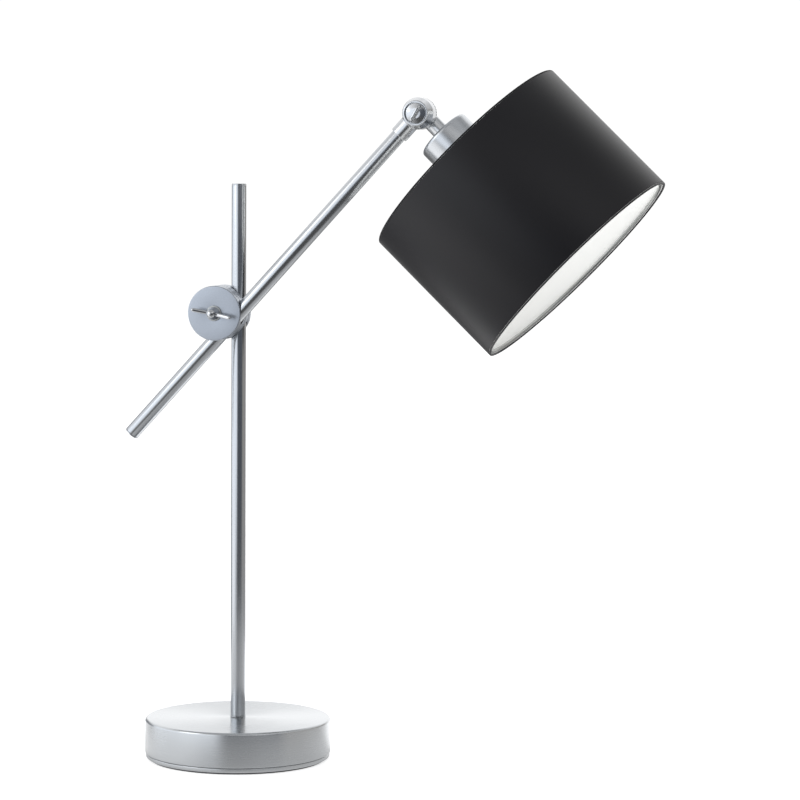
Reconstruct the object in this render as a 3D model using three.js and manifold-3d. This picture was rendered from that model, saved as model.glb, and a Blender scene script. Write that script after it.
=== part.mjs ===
// A swing arm desk lamp: a weighted round base with a round post, a serrated disc clamp that
// carries a round arm, and a drum shade on a serrated knuckle at the arm's end.
// Millimetres, +Z up, origin at the centre of the foot pad, the shade towards +X.
import * as THREE from "three";
import { mergeVertices } from "three/addons/utils/BufferGeometryUtils.js";
import Module from "manifold-3d";

const wasm = await Module();
wasm.setup();

// ---------------------------------------------------------------- Driving dimensions
const gap = 0.3; // clearance between pieces that touch on the real lamp
const runningGap = 0.2; // clearance between a tube and the liner it slides in

// Base
const baseRadius = 78.5;
const baseHeight = 35;
const padThickness = 1.2;
const padInset = 4; // how far the pad stays inside the base's edge
const panThickness = 1.5;
const panHeight = 3.7;
const panInset = 0.8; // the bottom pan's rim stands this far inside the cover's side
const coverWall = 1.6;
const coverEdgeRadius = 2.4;
const coverFootRadius = 1;
const weightHeight = 21;
const weightPocketRadius = 15;
const weightPocketDepth = 9;
const nippleRadius = 4;
const nippleBore = 2.5;
const nippleReach = 11; // how far the nipple screws into the post
const nutAcross = 13;
const nutHeight = 4.5;
const washerThickness = 1.2;
const washerRadius = 11;
const inletHeight = 12; // height of the cord inlet in the base's rear wall
const inletRadius = 4.6;
const inletBore = 3.4;
const inletFlange = 1.8;

// Post and arm tubes
const tubeRadius = 6.2;
const tubeWall = 1;
const postTop = 486;
const footRingHeight = 0.8;
const footRingProud = 0.3; // how far the ring stands out from the post
const capThickness = 1;
const plugDepth = 8;

// Disc clamp
const clampHeight = 378.1;
const clampRadius = 22.9;
const clampEdge = 0.6;
const clampWall = 0.65; // metal left between a tube's channel and the shell's flat face
const clampRim = 1.45; // metal left between a liner and the discs' rim
const linerWall = 0.55;
const studRadius = 3;
const studHeadRadius = 6.5;
const studHeadHeight = 3.6;
const clampWasherRadius = 6.4;
const clampWasherThickness = 1;
const clampToothCount = 36;
const clampToothDepth = 0.45;
const clampToothInnerRadius = 17;

// Wing nut
const wingSpan = 35.4;
const wingThickness = 3.4;
const wingRise = 7.5;
const wingRoot = 3.4;
const wingHubRadius = 5.6;
const wingHubHeight = 6.4;
const wingDomeRadius = 3.9;
const wingTilt = THREE.MathUtils.degToRad(-11);

// Arm
const armAngle = THREE.MathUtils.degToRad(47.5); // above the table
const armBelow = 126.9; // arm end below the clamp
const armAbove = 239.2; // knuckle pivot above the clamp
const sleeveWall = 1.2;
const sleeveLength = 24;
const sleeveStop = 10; // the tube ends this far from the pivot

// Knuckle
const knuckleRadius = 13.2;
const knuckleNose = 3.5; // how far the front half's face stands out past the sleeve's side
const knuckleShoulder = 8.1; // length of the front half's cone
const knuckleNoseRadius = 10.4;
const knuckleTailRadius = 9;
const knuckleRim = 1.5; // full width left on the rear half beside the teeth
const knuckleEdge = 0.6;
const knuckleToothCount = 36;
const knuckleToothDepth = 0.9;
const knuckleToothInnerRadius = 9.5;
const screwRadius = 2.5;
const screwHeadRadius = 8.6;
const screwRecessRadius = 9.3;
const screwRecessDepth = 2.6;
const bladeThickness = 3;
const bladeHeight = 4;
const bladeTilt = THREE.MathUtils.degToRad(60);
const acornRadius = 4.6;
const acornHeight = 5;
const stemRadius = 7;

// Head, measured along the shade's axis from the knuckle pivot
const shadeAngle = THREE.MathUtils.degToRad(44.1); // below the table's level
const cupStart = 22.4;
const cupRadius = 23.6;
const cupWall = 1.2;
const cupEdge = 3.2;
const spigotRadius = 5;
const spigotEnd = 37;
const lockNutAcross = 15;
const lockNutHeight = 3.6;
const holderCapRadius = 19.4;
const holderCapHeight = 15;
const holderWall = 2;
const holderRadius = 20;
const holderEnd = 90;
const coreRadius = 16.5;
const coreHeight = 7;
const shellRadius = 14.4;
const shellWall = 0.6;
const shellLength = 21;
const contactWidth = 6;
const contactLength = 14;
const contactThickness = 0.8;
const fitterStart = 56;
const fitterThickness = 2;
const fitterRadius = 27;
const ringNutRadius = 24.5;
const ringNutHeight = 8;
const ringNutRibs = 24;

// Shade
const shadeStart = 51.4;
const shadeLength = 130.6;
const shadeRadius = 100;
const skinThickness = 0.6;
const liningThickness = 0.8;
const wireRadius = 1.4;
const trimHeight = 1.1;
const trimWidth = 2.2;
const spiderArms = 3;
const spiderBar = 3.6;

// Bulb
const bulbCapRadius = 13;
const bulbCapLength = 24;
const bulbRadius = 30;
const bulbNeckRadius = 14.5;
const bulbLength = 86;
const bulbWall = 1;
const bulbNeckLength = 8;

// Facets
const roundBase = 40;
const roundShade = 48;
const roundDisc = 32;
const roundTube = 20;
const roundSmall = 12;

// ---------------------------------------------------------------- Sizes that follow
const tubeBore = tubeRadius - tubeWall;
const linerInner = tubeRadius + runningGap;
const linerOuter = linerInner + linerWall;
const channelRadius = linerOuter + runningGap;
const tubeOffset = clampRadius - linerOuter - clampRim; // from the clamp's axis to each tube's axis
const clampThickness = 2 * (channelRadius + clampWall); // one tube's pair of clamp shells
const sleeveRadius = tubeRadius + gap + sleeveWall;
const knuckleThickness = 2 * (sleeveRadius + gap); // one half
const footRingRadius = tubeRadius + footRingProud;
const padRadius = baseRadius - padInset;
const panBottom = padThickness + gap;
const coverBottom = panBottom + panHeight + gap;
const weightBottom = panBottom + panThickness + gap;
const weightTop = weightBottom + weightHeight;
const weightRadius = baseRadius - panInset - panThickness - 2 * gap;
const footRingBottom = baseHeight + gap;
const postBottom = footRingBottom + footRingHeight + gap;
const postTubeTop = postTop - capThickness - gap;
const armPlane = clampThickness + gap; // the arm's axis in front of the post's axis
const clampFront = armPlane + clampThickness / 2;
const clampBack = -clampThickness / 2;
const linerReach = Math.sqrt(clampRadius ** 2 - (tubeOffset + linerOuter) ** 2) - gap; // inside the discs
const washerFront = clampFront + gap + clampWasherThickness;
const knuckleFace = armPlane - knuckleThickness / 2;
const knuckleFront = armPlane + knuckleThickness / 2 + knuckleNose;
const headFace = knuckleFace - gap;
const headPlane = headFace - knuckleThickness / 2;
const knuckleBack = headFace - knuckleThickness;
const lockNutStart = cupStart + gap + cupWall + gap;
const holderCapStart = lockNutStart + lockNutHeight + gap;
const holderStart = holderCapStart + holderCapHeight + gap;
const coreStart = holderStart + gap;
const shellStart = coreStart + coreHeight + gap;
const ringNutStart = fitterStart + fitterThickness + gap;
const shadeEnd = shadeStart + shadeLength;
const skinInner = shadeRadius - skinThickness;
const liningOuter = skinInner - gap;
const liningInner = liningOuter - liningThickness;
const wireCentre = liningInner - gap - wireRadius;
const wireInset = trimHeight + gap + wireRadius;
const bulbCapStart = shellStart + 3;
const bulbCapEnd = bulbCapStart + bulbCapLength;

// ---------------------------------------------------------------- Materials
function metal(color, roughness) {
  return new THREE.MeshStandardMaterial({ color, roughness, metalness: 1 });
}

function plain(color, roughness) {
  return new THREE.MeshStandardMaterial({ color, roughness, metalness: 0 });
}

const satinNickel = () => metal(0xb4b8bd, 0.32);
const brushedNickel = () => metal(0xa9b0b8, 0.45);
const castIron = () => metal(0x55585c, 0.75);
const zincSteel = () => metal(0xc2c4c2, 0.4);
const brass = () => metal(0xc9a45a, 0.35);
const aluminium = () => metal(0xc8cacc, 0.35);
const felt = () => plain(0x232427, 0.95);
const nylon = () => plain(0x2c2e31, 0.55);
const bakelite = () => plain(0x1d1d1f, 0.4);
const porcelain = () => plain(0xeeece6, 0.3);
const blackFabric = () => plain(0x26272a, 0.7);
const whiteLining = () => plain(0xf4f4f2, 0.6);
const opalGlass = () => plain(0xf7f5ee, 0.2);

// ---------------------------------------------------------------- Geometry helpers
function toManifold(geometry) {
  const bare = geometry.clone();
  bare.deleteAttribute("normal");
  bare.deleteAttribute("uv");
  const merged = mergeVertices(bare);
  const position = merged.getAttribute("position");
  const corner = [0, 1, 2].map(() => new THREE.Vector3());
  const triangles = [];
  let volume = 0;
  for (let i = 0; i < merged.index.count; i += 3) {
    const face = [0, 1, 2].map((k) => merged.index.getX(i + k));
    if (new Set(face).size < 3) continue;
    face.forEach((v, k) => corner[k].fromBufferAttribute(position, v));
    volume += corner[0].dot(corner[1].clone().cross(corner[2]));
    triangles.push(face);
  }
  const outward = volume > 0 ? triangles : triangles.map(([a, b, c]) => [a, c, b]);
  return new wasm.Manifold(
    new wasm.Mesh({
      numProp: 3,
      vertProperties: new Float32Array(position.array),
      triVerts: new Uint32Array(outward.flat()),
    }),
  );
}

function toGeometry(manifold) {
  const mesh = manifold.getMesh();
  const geometry = new THREE.BufferGeometry();
  geometry.setAttribute("position", new THREE.BufferAttribute(mesh.vertProperties, 3));
  geometry.setIndex(new THREE.BufferAttribute(mesh.triVerts, 1));
  geometry.computeVertexNormals();
  return geometry;
}

function join(...geometries) {
  return toGeometry(geometries.map(toManifold).reduce((a, b) => a.add(b)));
}

function cut(geometry, ...tools) {
  return toGeometry(tools.map(toManifold).reduce((a, b) => a.subtract(b), toManifold(geometry)));
}

// A profile of [radius, height] points turned about Z, closed on the axis or on itself.
function turned(profile, facets) {
  const points = profile.map(([r, z]) => new THREE.Vector2(r, z));
  if (profile[0][0] > 0) points.push(points[0].clone());
  return new THREE.LatheGeometry(points, facets).rotateX(Math.PI / 2);
}

function rod(radius, bottom, top, facets) {
  return turned([[0, bottom], [radius, bottom], [radius, top], [0, top]], facets);
}

function pipe(outer, inner, bottom, top, facets) {
  return turned([[inner, bottom], [outer, bottom], [outer, top], [inner, top]], facets);
}

// Points of a quarter round from angle `from` to angle `to`, about [r, z].
function arc(r, z, radius, from, to, steps = 3) {
  return Array.from({ length: steps + 1 }, (_, i) => {
    const angle = from + ((to - from) * i) / steps;
    return [r + radius * Math.cos(angle), z + radius * Math.sin(angle)];
  });
}

function box(sizeX, sizeY, sizeZ, x, y, z) {
  return new THREE.BoxGeometry(sizeX, sizeY, sizeZ).translate(x, y, z);
}

// A prism on a flat outline of [x, y] points, standing on `bottom`.
function prism(outline, bottom, top) {
  const shape = new THREE.Shape(outline.map(([x, y]) => new THREE.Vector2(x, y)));
  const settings = { depth: top - bottom, bevelEnabled: false };
  return new THREE.ExtrudeGeometry(shape, settings).translate(0, 0, bottom);
}

function hexagon(across, bottom, top) {
  const corner = across / 2 / Math.cos(Math.PI / 6);
  return rod(corner, bottom, top, 6);
}

// Wedges that cut radial serrations into a flat face at height `face`.
// `side` is 1 when the face looks up and -1 when it looks down.
function serrations(count, inner, outer, depth, face, side) {
  const spread = (Math.PI * outer) / count * 0.8;
  const reach = outer + gap;
  const wedges = Array.from({ length: count }, (_, i) => {
    const above = gap * side;
    const outline = [[-spread / 2, above], [0, -depth * side], [spread / 2, above]];
    const wedge = prism(outline, inner, reach).rotateX(Math.PI / 2).rotateZ(Math.PI);
    return wedge.translate(0, 0, face).rotateZ((2 * Math.PI * (i + 0.5)) / count);
  });
  return wedges.map(toManifold).reduce((a, b) => a.add(b));
}

function cutSerrations(geometry, wedges) {
  return toGeometry(toManifold(geometry).subtract(wedges));
}

function add(parent, name, geometry, material) {
  const mesh = new THREE.Mesh(toGeometry(toManifold(geometry)), material);
  mesh.name = name;
  parent.add(mesh);
  return mesh;
}

function frame(parent, position, turn = {}) {
  const group = new THREE.Group();
  group.position.set(...position);
  group.rotation.set(turn.x ?? 0, turn.y ?? 0, turn.z ?? 0);
  parent.add(group);
  return group;
}

// ---------------------------------------------------------------- Base
function addBase(lamp) {
  add(lamp, "foot_pad", rod(padRadius, 0, padThickness, roundBase), felt());

  const panRadius = baseRadius - panInset;
  const panTop = panBottom + panHeight;
  const pan = turned(
    [
      [0, panBottom],
      ...arc(panRadius - panThickness, panBottom + panThickness, panThickness, -Math.PI / 2, 0, 2),
      [panRadius, panTop],
      [panRadius - panThickness, panTop],
      [panRadius - panThickness, panBottom + panThickness],
      [0, panBottom + panThickness],
    ],
    roundBase,
  );
  add(lamp, "bottom_pan", pan, satinNickel());

  const coverInner = baseRadius - coverWall;
  const cover = turned(
    [
      [coverInner, coverBottom],
      ...arc(baseRadius - coverFootRadius, coverBottom + coverFootRadius, coverFootRadius, -Math.PI / 2, 0, 2),
      ...arc(baseRadius - coverEdgeRadius, baseHeight - coverEdgeRadius, coverEdgeRadius, 0, Math.PI / 2),
      [nippleRadius + gap, baseHeight],
      [nippleRadius + gap, baseHeight - coverWall],
      [coverInner, baseHeight - coverWall],
    ],
    roundBase,
  );
  const inletHole = rod(inletRadius + gap, weightRadius, baseRadius + gap, roundSmall);
  inletHole.rotateX(-Math.PI / 2).translate(0, 0, inletHeight);
  add(lamp, "base_cover", cut(cover, inletHole), brushedNickel());

  const pocketTop = weightBottom + weightPocketDepth;
  const weight = turned(
    [
      [weightPocketRadius, weightBottom],
      [weightRadius, weightBottom],
      [weightRadius, weightTop],
      [nippleRadius + gap, weightTop],
      [nippleRadius + gap, pocketTop],
      [weightPocketRadius, pocketTop],
    ],
    roundBase,
  );
  const channelTop = inletHeight + inletRadius + gap;
  const channel = box(
    2 * inletRadius + 2 * gap,
    weightRadius + gap,
    channelTop - weightBottom + gap,
    0,
    (weightRadius + gap) / 2,
    (channelTop + weightBottom - gap) / 2,
  );
  add(lamp, "base_weight", cut(weight, channel), castIron());

  const washerTop = pocketTop - gap;
  const washerBottom = washerTop - washerThickness;
  const nutTop = washerBottom - gap;
  const nutBottom = nutTop - nutHeight;
  const nippleHole = nippleRadius + gap;
  add(lamp, "base_washer", pipe(washerRadius, nippleHole, washerBottom, washerTop, roundTube), zincSteel());
  const nut = cut(
    hexagon(nutAcross, nutBottom, nutTop),
    rod(nippleHole, nutBottom - gap, nutTop + gap, roundSmall),
  );
  add(lamp, "base_nut", nut, zincSteel());
  const nippleTop = postBottom + nippleReach;
  add(lamp, "base_nipple", pipe(nippleRadius, nippleBore, nutBottom, nippleTop, roundSmall), zincSteel());

  const coverOutside = baseRadius + gap;
  const bush = turned(
    [
      [inletBore, weightRadius + 2 * gap],
      [inletRadius, weightRadius + 2 * gap],
      [inletRadius, coverOutside],
      [inletRadius + inletFlange, coverOutside],
      [inletRadius + inletFlange * 0.6, coverOutside + inletFlange],
      [inletBore, coverOutside + inletFlange],
    ],
    roundSmall,
  );
  bush.rotateX(-Math.PI / 2).translate(0, 0, inletHeight);
  add(lamp, "cord_inlet_bush", bush, nylon());
}

// ---------------------------------------------------------------- Post
// An end cap with a plug that goes into a tube, its face towards +Z at `top`.
function endCap(top) {
  const under = top - capThickness;
  return turned(
    [
      [0, under - plugDepth],
      [tubeBore - gap, under - plugDepth],
      [tubeBore - gap, under],
      [tubeRadius, under],
      [tubeRadius, top - capThickness / 2],
      [tubeRadius - capThickness / 2, top],
      [0, top],
    ],
    roundTube,
  );
}

function addPost(lamp) {
  const ringTop = footRingBottom + footRingHeight;
  const nippleHole = nippleRadius + gap;
  const ring = pipe(footRingRadius, nippleHole, footRingBottom, ringTop, roundTube);
  add(lamp, "post_foot_ring", ring, satinNickel());
  const insertTop = postBottom + nippleReach + gap;
  const insert = pipe(tubeBore - gap, nippleHole, postBottom, insertTop, roundTube);
  add(lamp, "post_foot_insert", insert, zincSteel());
  add(lamp, "post_tube", pipe(tubeRadius, tubeBore, postBottom, postTubeTop, roundTube), satinNickel());
  add(lamp, "post_cap", endCap(postTop), satinNickel());
}

// ---------------------------------------------------------------- Disc clamp
// A round clamp shell between two heights, bored for the stud.
function clampShell(bottom, top) {
  const edge = clampRadius - clampEdge;
  return turned(
    [
      [studRadius + gap, bottom],
      [edge, bottom],
      [clampRadius, bottom + clampEdge],
      [clampRadius, top - clampEdge],
      [edge, top],
      [studRadius + gap, top],
    ],
    roundDisc,
  );
}

// The channel for a tube and its liner; it runs along X or along Y through a shell.
function channel(height, alongX) {
  const bore = rod(channelRadius, -clampRadius - gap, clampRadius + gap, roundTube);
  if (alongX) return bore.rotateY(Math.PI / 2).translate(0, -tubeOffset, height);
  return bore.rotateX(Math.PI / 2).translate(tubeOffset, 0, height);
}

function clampLiner() {
  return pipe(linerOuter, linerInner, -linerReach, linerReach, roundTube);
}

function addClampRear(clamp) {
  const backShell = clampShell(clampBack, -gap / 2);
  const faceShell = clampShell(gap / 2, clampThickness / 2);
  const postChannel = channel(0, false);
  const teeth = serrations(
    clampToothCount,
    clampToothInnerRadius,
    clampRadius,
    clampToothDepth,
    clampThickness / 2,
    1,
  );
  add(clamp, "clamp_rear_cap", cut(backShell, postChannel), brushedNickel());
  const face = cutSerrations(cut(faceShell, postChannel), teeth);
  add(clamp, "clamp_rear_serrated_disc", face, brushedNickel());

  const washerBack = clampBack - gap - clampWasherThickness;
  const washer = pipe(clampWasherRadius, studRadius + gap, washerBack, clampBack - gap, roundTube);
  add(clamp, "clamp_rear_washer", washer, zincSteel());
  const headFront = washerBack - gap;
  const headBack = headFront - studHeadHeight;
  const studFront = washerFront + gap + wingHubHeight;
  const stud = turned(
    [
      [0, headBack],
      ...arc(studHeadRadius - 2, headBack + 2, 2, -Math.PI / 2, 0, 2),
      [studHeadRadius, headFront],
      [studRadius, headFront],
      [studRadius, studFront],
      [0, studFront],
    ],
    roundSmall,
  );
  add(clamp, "clamp_stud", stud, zincSteel());

  const liner = frame(clamp, [tubeOffset, 0, 0], { x: -Math.PI / 2 });
  add(liner, "post_liner", clampLiner(), nylon());
}

function addClampFront(swing) {
  const armChannel = channel(armPlane, true);
  const faceShell = clampShell(clampThickness / 2 + gap, armPlane - gap / 2);
  const capShell = clampShell(armPlane + gap / 2, clampFront);
  const teeth = serrations(
    clampToothCount,
    clampToothInnerRadius,
    clampRadius,
    clampToothDepth,
    clampThickness / 2 + gap,
    -1,
  );
  const face = cutSerrations(cut(faceShell, armChannel), teeth);
  add(swing, "clamp_front_serrated_disc", face, brushedNickel());
  add(swing, "clamp_front_cap", cut(capShell, armChannel), brushedNickel());
  const washer = pipe(clampWasherRadius, studRadius + gap, clampFront + gap, washerFront, roundTube);
  add(swing, "clamp_front_washer", washer, zincSteel());
}

// ---------------------------------------------------------------- Wing nut
function addWingNut(clamp) {
  const bottom = washerFront + gap;
  const domeBottom = bottom + wingHubHeight;
  const hub = turned(
    [
      [0, domeBottom + 2 * gap],
      [studRadius + gap, domeBottom + 2 * gap],
      [studRadius + gap, bottom],
      [wingHubRadius, bottom],
      [wingDomeRadius, domeBottom],
      ...arc(0, domeBottom, wingDomeRadius, 0, Math.PI / 2, 4),
    ],
    roundSmall,
  );
  const inner = studRadius + 2 * gap;
  const tip = wingSpan / 2;
  const wing = [
    [inner, bottom + 1],
    [inner + 2, bottom + 1],
    [tip - 1, bottom + wingRise - wingRoot / 2],
    [tip, bottom + wingRise],
    [tip - 1, bottom + wingRise + wingRoot / 2],
    [tip - 4, bottom + wingRise + wingRoot / 2],
    [inner, bottom + wingHubHeight],
  ];
  const half = wingThickness / 2;
  const wings = [0, Math.PI].map((turn) => prism(wing, -half, half).rotateX(Math.PI / 2).rotateZ(turn));
  const nut = join(hub, ...wings).rotateZ(wingTilt);
  add(clamp, "wing_nut", nut, satinNickel());
}

// ---------------------------------------------------------------- Arm
function addArm(swing) {
  const arm = frame(swing, [0, -tubeOffset, armPlane], { y: Math.PI / 2 });
  add(arm, "arm_liner", clampLiner(), nylon());
  const tubeBottom = -armBelow + capThickness + gap;
  const tubeTop = armAbove - sleeveStop;
  add(arm, "arm_tube", pipe(tubeRadius, tubeBore, tubeBottom, tubeTop, roundTube), satinNickel());
  const cap = endCap(armBelow).rotateX(Math.PI);
  add(arm, "arm_end_cap", cap, satinNickel());
}

// ---------------------------------------------------------------- Knuckle
function addKnuckleFront(knee) {
  const edge = knuckleEdge;
  const barrel = turned(
    [
      [0, knuckleFace],
      [knuckleRadius, knuckleFace],
      [knuckleRadius, knuckleFront - knuckleShoulder],
      [knuckleNoseRadius, knuckleFront - edge],
      [knuckleNoseRadius - edge, knuckleFront],
      [0, knuckleFront],
    ],
    roundDisc,
  );
  const sleeve = rod(sleeveRadius, 0, sleeveLength, roundTube).rotateY(-Math.PI / 2);
  sleeve.translate(0, 0, armPlane);
  const bore = rod(tubeRadius + gap, sleeveStop - gap, sleeveLength + gap, roundTube);
  bore.rotateY(-Math.PI / 2).translate(0, 0, armPlane);
  const recess = rod(screwRecessRadius, knuckleFront - screwRecessDepth, knuckleFront + gap, roundTube);
  const screwHole = rod(screwRadius + gap, knuckleFace - gap, knuckleFront, roundSmall);
  const teeth = serrations(
    knuckleToothCount,
    knuckleToothInnerRadius,
    knuckleRadius,
    knuckleToothDepth,
    knuckleFace,
    -1,
  );
  const body = cut(join(barrel, sleeve), bore, recess, screwHole);
  add(knee, "knuckle_front_half", cutSerrations(body, teeth), satinNickel());
}

function addThumbScrew(knee) {
  const seat = knuckleFront - screwRecessDepth + gap;
  const headTop = knuckleFront;
  const headEdge = 1;
  const screw = turned(
    [
      [0, knuckleBack - gap - acornHeight / 2],
      [screwRadius, knuckleBack - gap - acornHeight / 2],
      [screwRadius, seat],
      [screwHeadRadius, seat],
      [screwHeadRadius, headTop - headEdge],
      [screwHeadRadius - headEdge, headTop],
      [0, headTop],
    ],
    roundTube,
  );
  const half = screwHeadRadius - headEdge;
  const blade = [
    [-half, seat + gap],
    [half, seat + gap],
    [half, headTop + bladeHeight / 2],
    [half / 2, headTop + bladeHeight],
    [-half / 2, headTop + bladeHeight],
    [-half, headTop + bladeHeight / 2],
  ];
  const bladeSide = bladeThickness / 2;
  const grip = prism(blade, -bladeSide, bladeSide).rotateX(Math.PI / 2).rotateZ(bladeTilt);
  add(knee, "thumb_screw", join(screw, grip), satinNickel());
}

function addKnuckleRear(head) {
  const edge = knuckleEdge;
  const barrel = turned(
    [
      [0, knuckleBack],
      [knuckleTailRadius - edge, knuckleBack],
      [knuckleTailRadius, knuckleBack + edge],
      [knuckleRadius, headFace - knuckleRim],
      [knuckleRadius, headFace],
      [0, headFace],
    ],
    roundDisc,
  );
  const stem = turned(
    [
      [0, 0],
      [stemRadius, 0],
      [stemRadius, cupStart],
      [spigotRadius, cupStart],
      [spigotRadius, spigotEnd],
      [0, spigotEnd],
    ],
    roundTube,
  );
  stem.rotateY(Math.PI / 2).translate(0, 0, headPlane);
  const screwHole = rod(screwRadius + gap, knuckleBack - gap, headFace + gap, roundSmall);
  const wireStart = screwRadius + gap + 2;
  const wireWay = rod(nippleBore, wireStart, spigotEnd + gap, roundSmall);
  wireWay.rotateY(Math.PI / 2).translate(0, 0, headPlane);
  const teeth = serrations(
    knuckleToothCount,
    knuckleToothInnerRadius,
    knuckleRadius,
    knuckleToothDepth,
    headFace,
    1,
  );
  const body = cut(join(barrel, stem), screwHole, wireWay);
  add(head, "knuckle_rear_half", cutSerrations(body, teeth), satinNickel());

  const acornFront = knuckleBack - gap;
  const acornBack = acornFront - acornHeight;
  const acorn = turned(
    [
      [0, acornBack],
      [acornRadius * 0.55, acornBack + 0.6],
      [acornRadius, acornFront - acornHeight * 0.45],
      [acornRadius, acornFront],
      [screwRadius + gap, acornFront],
      [screwRadius + gap, acornFront - acornHeight / 2 - gap],
      [0, acornFront - acornHeight / 2 - gap],
    ],
    roundSmall,
  );
  add(head, "knuckle_acorn_nut", acorn, zincSteel());
}

// ---------------------------------------------------------------- Lampholder
function addHolder(axis) {
  const spigotHole = spigotRadius + gap;
  const cupTop = cupStart + gap;
  const cupEnd = fitterStart - gap;
  const cup = turned(
    [
      [spigotHole, cupTop],
      ...arc(cupRadius - cupEdge, cupTop + cupEdge, cupEdge, -Math.PI / 2, 0),
      [cupRadius, cupEnd],
      [cupRadius - cupWall, cupEnd],
      ...arc(cupRadius - cupEdge, cupTop + cupEdge, cupEdge - cupWall, 0, -Math.PI / 2, 2),
      [spigotHole, cupTop + cupWall],
    ],
    roundDisc,
  );
  add(axis, "holder_cup", cup, satinNickel());

  const lockNutEnd = lockNutStart + lockNutHeight;
  const lockNut = cut(
    hexagon(lockNutAcross, lockNutStart, lockNutEnd),
    rod(spigotHole, lockNutStart - gap, lockNutEnd + gap, roundSmall),
  );
  add(axis, "holder_lock_nut", lockNut, zincSteel());

  const capEnd = holderCapStart + holderCapHeight;
  const holderCap = turned(
    [
      [spigotHole, holderCapStart],
      [holderCapRadius - holderWall, holderCapStart],
      [holderCapRadius, holderCapStart + holderWall],
      [holderCapRadius, capEnd],
      [holderCapRadius - holderWall, capEnd],
      [holderCapRadius - holderWall, holderCapStart + holderWall],
      [spigotHole, holderCapStart + holderWall],
    ],
    roundDisc,
  );
  add(axis, "lampholder_cap", holderCap, bakelite());
  const body = pipe(holderRadius, holderRadius - holderWall, holderStart, holderEnd, roundDisc);
  add(axis, "lampholder_body", body, bakelite());

  const coreEnd = coreStart + coreHeight;
  add(axis, "lampholder_core", rod(coreRadius, coreStart, coreEnd, roundTube), porcelain());
  const shellEnd = shellStart + shellLength;
  const shell = pipe(shellRadius, shellRadius - shellWall, shellStart, shellEnd, roundTube);
  add(axis, "screw_shell", shell, brass());
  const contact = box(
    contactLength,
    contactWidth,
    contactThickness,
    0,
    0,
    coreEnd + gap + contactThickness / 2,
  );
  add(axis, "centre_contact", contact, brass());

  const nutEnd = ringNutStart + ringNutHeight;
  const nutBody = pipe(ringNutRadius, holderRadius + gap, ringNutStart, nutEnd, ringNutRibs * 2);
  add(axis, "shade_ring_nut", nutBody, bakelite());
}

// ---------------------------------------------------------------- Bulb
function addBulb(axis) {
  const cap = turned(
    [
      [0, bulbCapStart],
      [bulbCapRadius * 0.4, bulbCapStart],
      [bulbCapRadius, bulbCapStart + 4],
      [bulbCapRadius, bulbCapEnd],
      [0, bulbCapEnd],
    ],
    roundTube,
  );
  add(axis, "bulb_cap", cap, aluminium());
  const glassStart = bulbCapEnd + gap;
  const globe = glassStart + bulbLength - bulbRadius;
  const neckEnd = glassStart + bulbNeckLength;
  const glass = turned(
    [
      [bulbCapRadius, glassStart],
      [bulbNeckRadius, neckEnd],
      ...arc(0, globe, bulbRadius, -Math.PI / 4, Math.PI / 2, 8),
      ...arc(0, globe, bulbRadius - bulbWall, Math.PI / 2, -Math.PI / 4, 8),
      [bulbNeckRadius - bulbWall, neckEnd],
      [bulbCapRadius - bulbWall, glassStart],
    ],
    roundTube,
  );
  add(axis, "bulb_glass", glass, opalGlass());
}

// ---------------------------------------------------------------- Shade
function addShade(axis) {
  const skinStart = shadeStart + trimHeight + gap;
  const skinEnd = shadeEnd - trimHeight - gap;
  add(axis, "shade_skin", pipe(shadeRadius, skinInner, skinStart, skinEnd, roundShade), blackFabric());
  add(axis, "shade_lining", pipe(liningOuter, liningInner, skinStart, skinEnd, roundShade), whiteLining());

  const trims = [
    ["shade_top_trim", shadeStart],
    ["shade_bottom_trim", shadeEnd - trimHeight],
  ];
  for (const [name, start] of trims) {
    const trim = pipe(shadeRadius, shadeRadius - trimWidth, start, start + trimHeight, roundShade);
    add(axis, name, trim, blackFabric());
  }

  const topWire = shadeStart + wireInset;
  const wires = [
    ["shade_top_wire", topWire],
    ["shade_bottom_wire", shadeEnd - wireInset],
  ];
  for (const [name, height] of wires) {
    const wire = turned(arc(wireCentre, height, wireRadius, 0, (Math.PI * 5) / 3, 5), roundShade);
    add(axis, name, wire, zincSteel());
  }

  const fitterEnd = fitterStart + fitterThickness;
  const fitter = pipe(fitterRadius, holderRadius + gap, fitterStart, fitterEnd, roundDisc);
  const armInner = (fitterRadius + holderRadius) / 2;
  const armOuter = wireCentre - wireRadius - gap;
  const barHalf = fitterThickness / 2;
  const barStart = fitterStart + barHalf;
  const bar = [
    [armInner, barStart - barHalf],
    [fitterRadius, barStart - barHalf],
    [armOuter, topWire - barHalf],
    [armOuter, topWire + barHalf],
    [fitterRadius, barStart + barHalf],
    [armInner, barStart + barHalf],
  ];
  const bars = Array.from({ length: spiderArms }, (_, i) => {
    const turn = (2 * Math.PI * i) / spiderArms;
    return prism(bar, -spiderBar / 2, spiderBar / 2).rotateX(Math.PI / 2).rotateZ(turn);
  });
  add(axis, "shade_spider", join(fitter, ...bars), zincSteel());
}

// ---------------------------------------------------------------- Assembly
const lamp = new THREE.Group();
addBase(lamp);
addPost(lamp);

// The clamp's frame: X across, Y up the post, Z out of the clamp's front.
const clamp = frame(lamp, [-tubeOffset, 0, clampHeight], { x: Math.PI / 2 });
addClampRear(clamp);
addWingNut(clamp);

// The arm's swing: X along the arm, upwards.
const swing = frame(clamp, [0, 0, 0], { z: armAngle });
addClampFront(swing);
addArm(swing);

const knee = frame(swing, [armAbove, -tubeOffset, 0]);
addKnuckleFront(knee);

const head = frame(knee, [0, 0, 0], { z: -armAngle - shadeAngle });
const screwFrame = frame(knee, [0, 0, 0], { z: -armAngle });
addThumbScrew(screwFrame);
addKnuckleRear(head);

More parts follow.
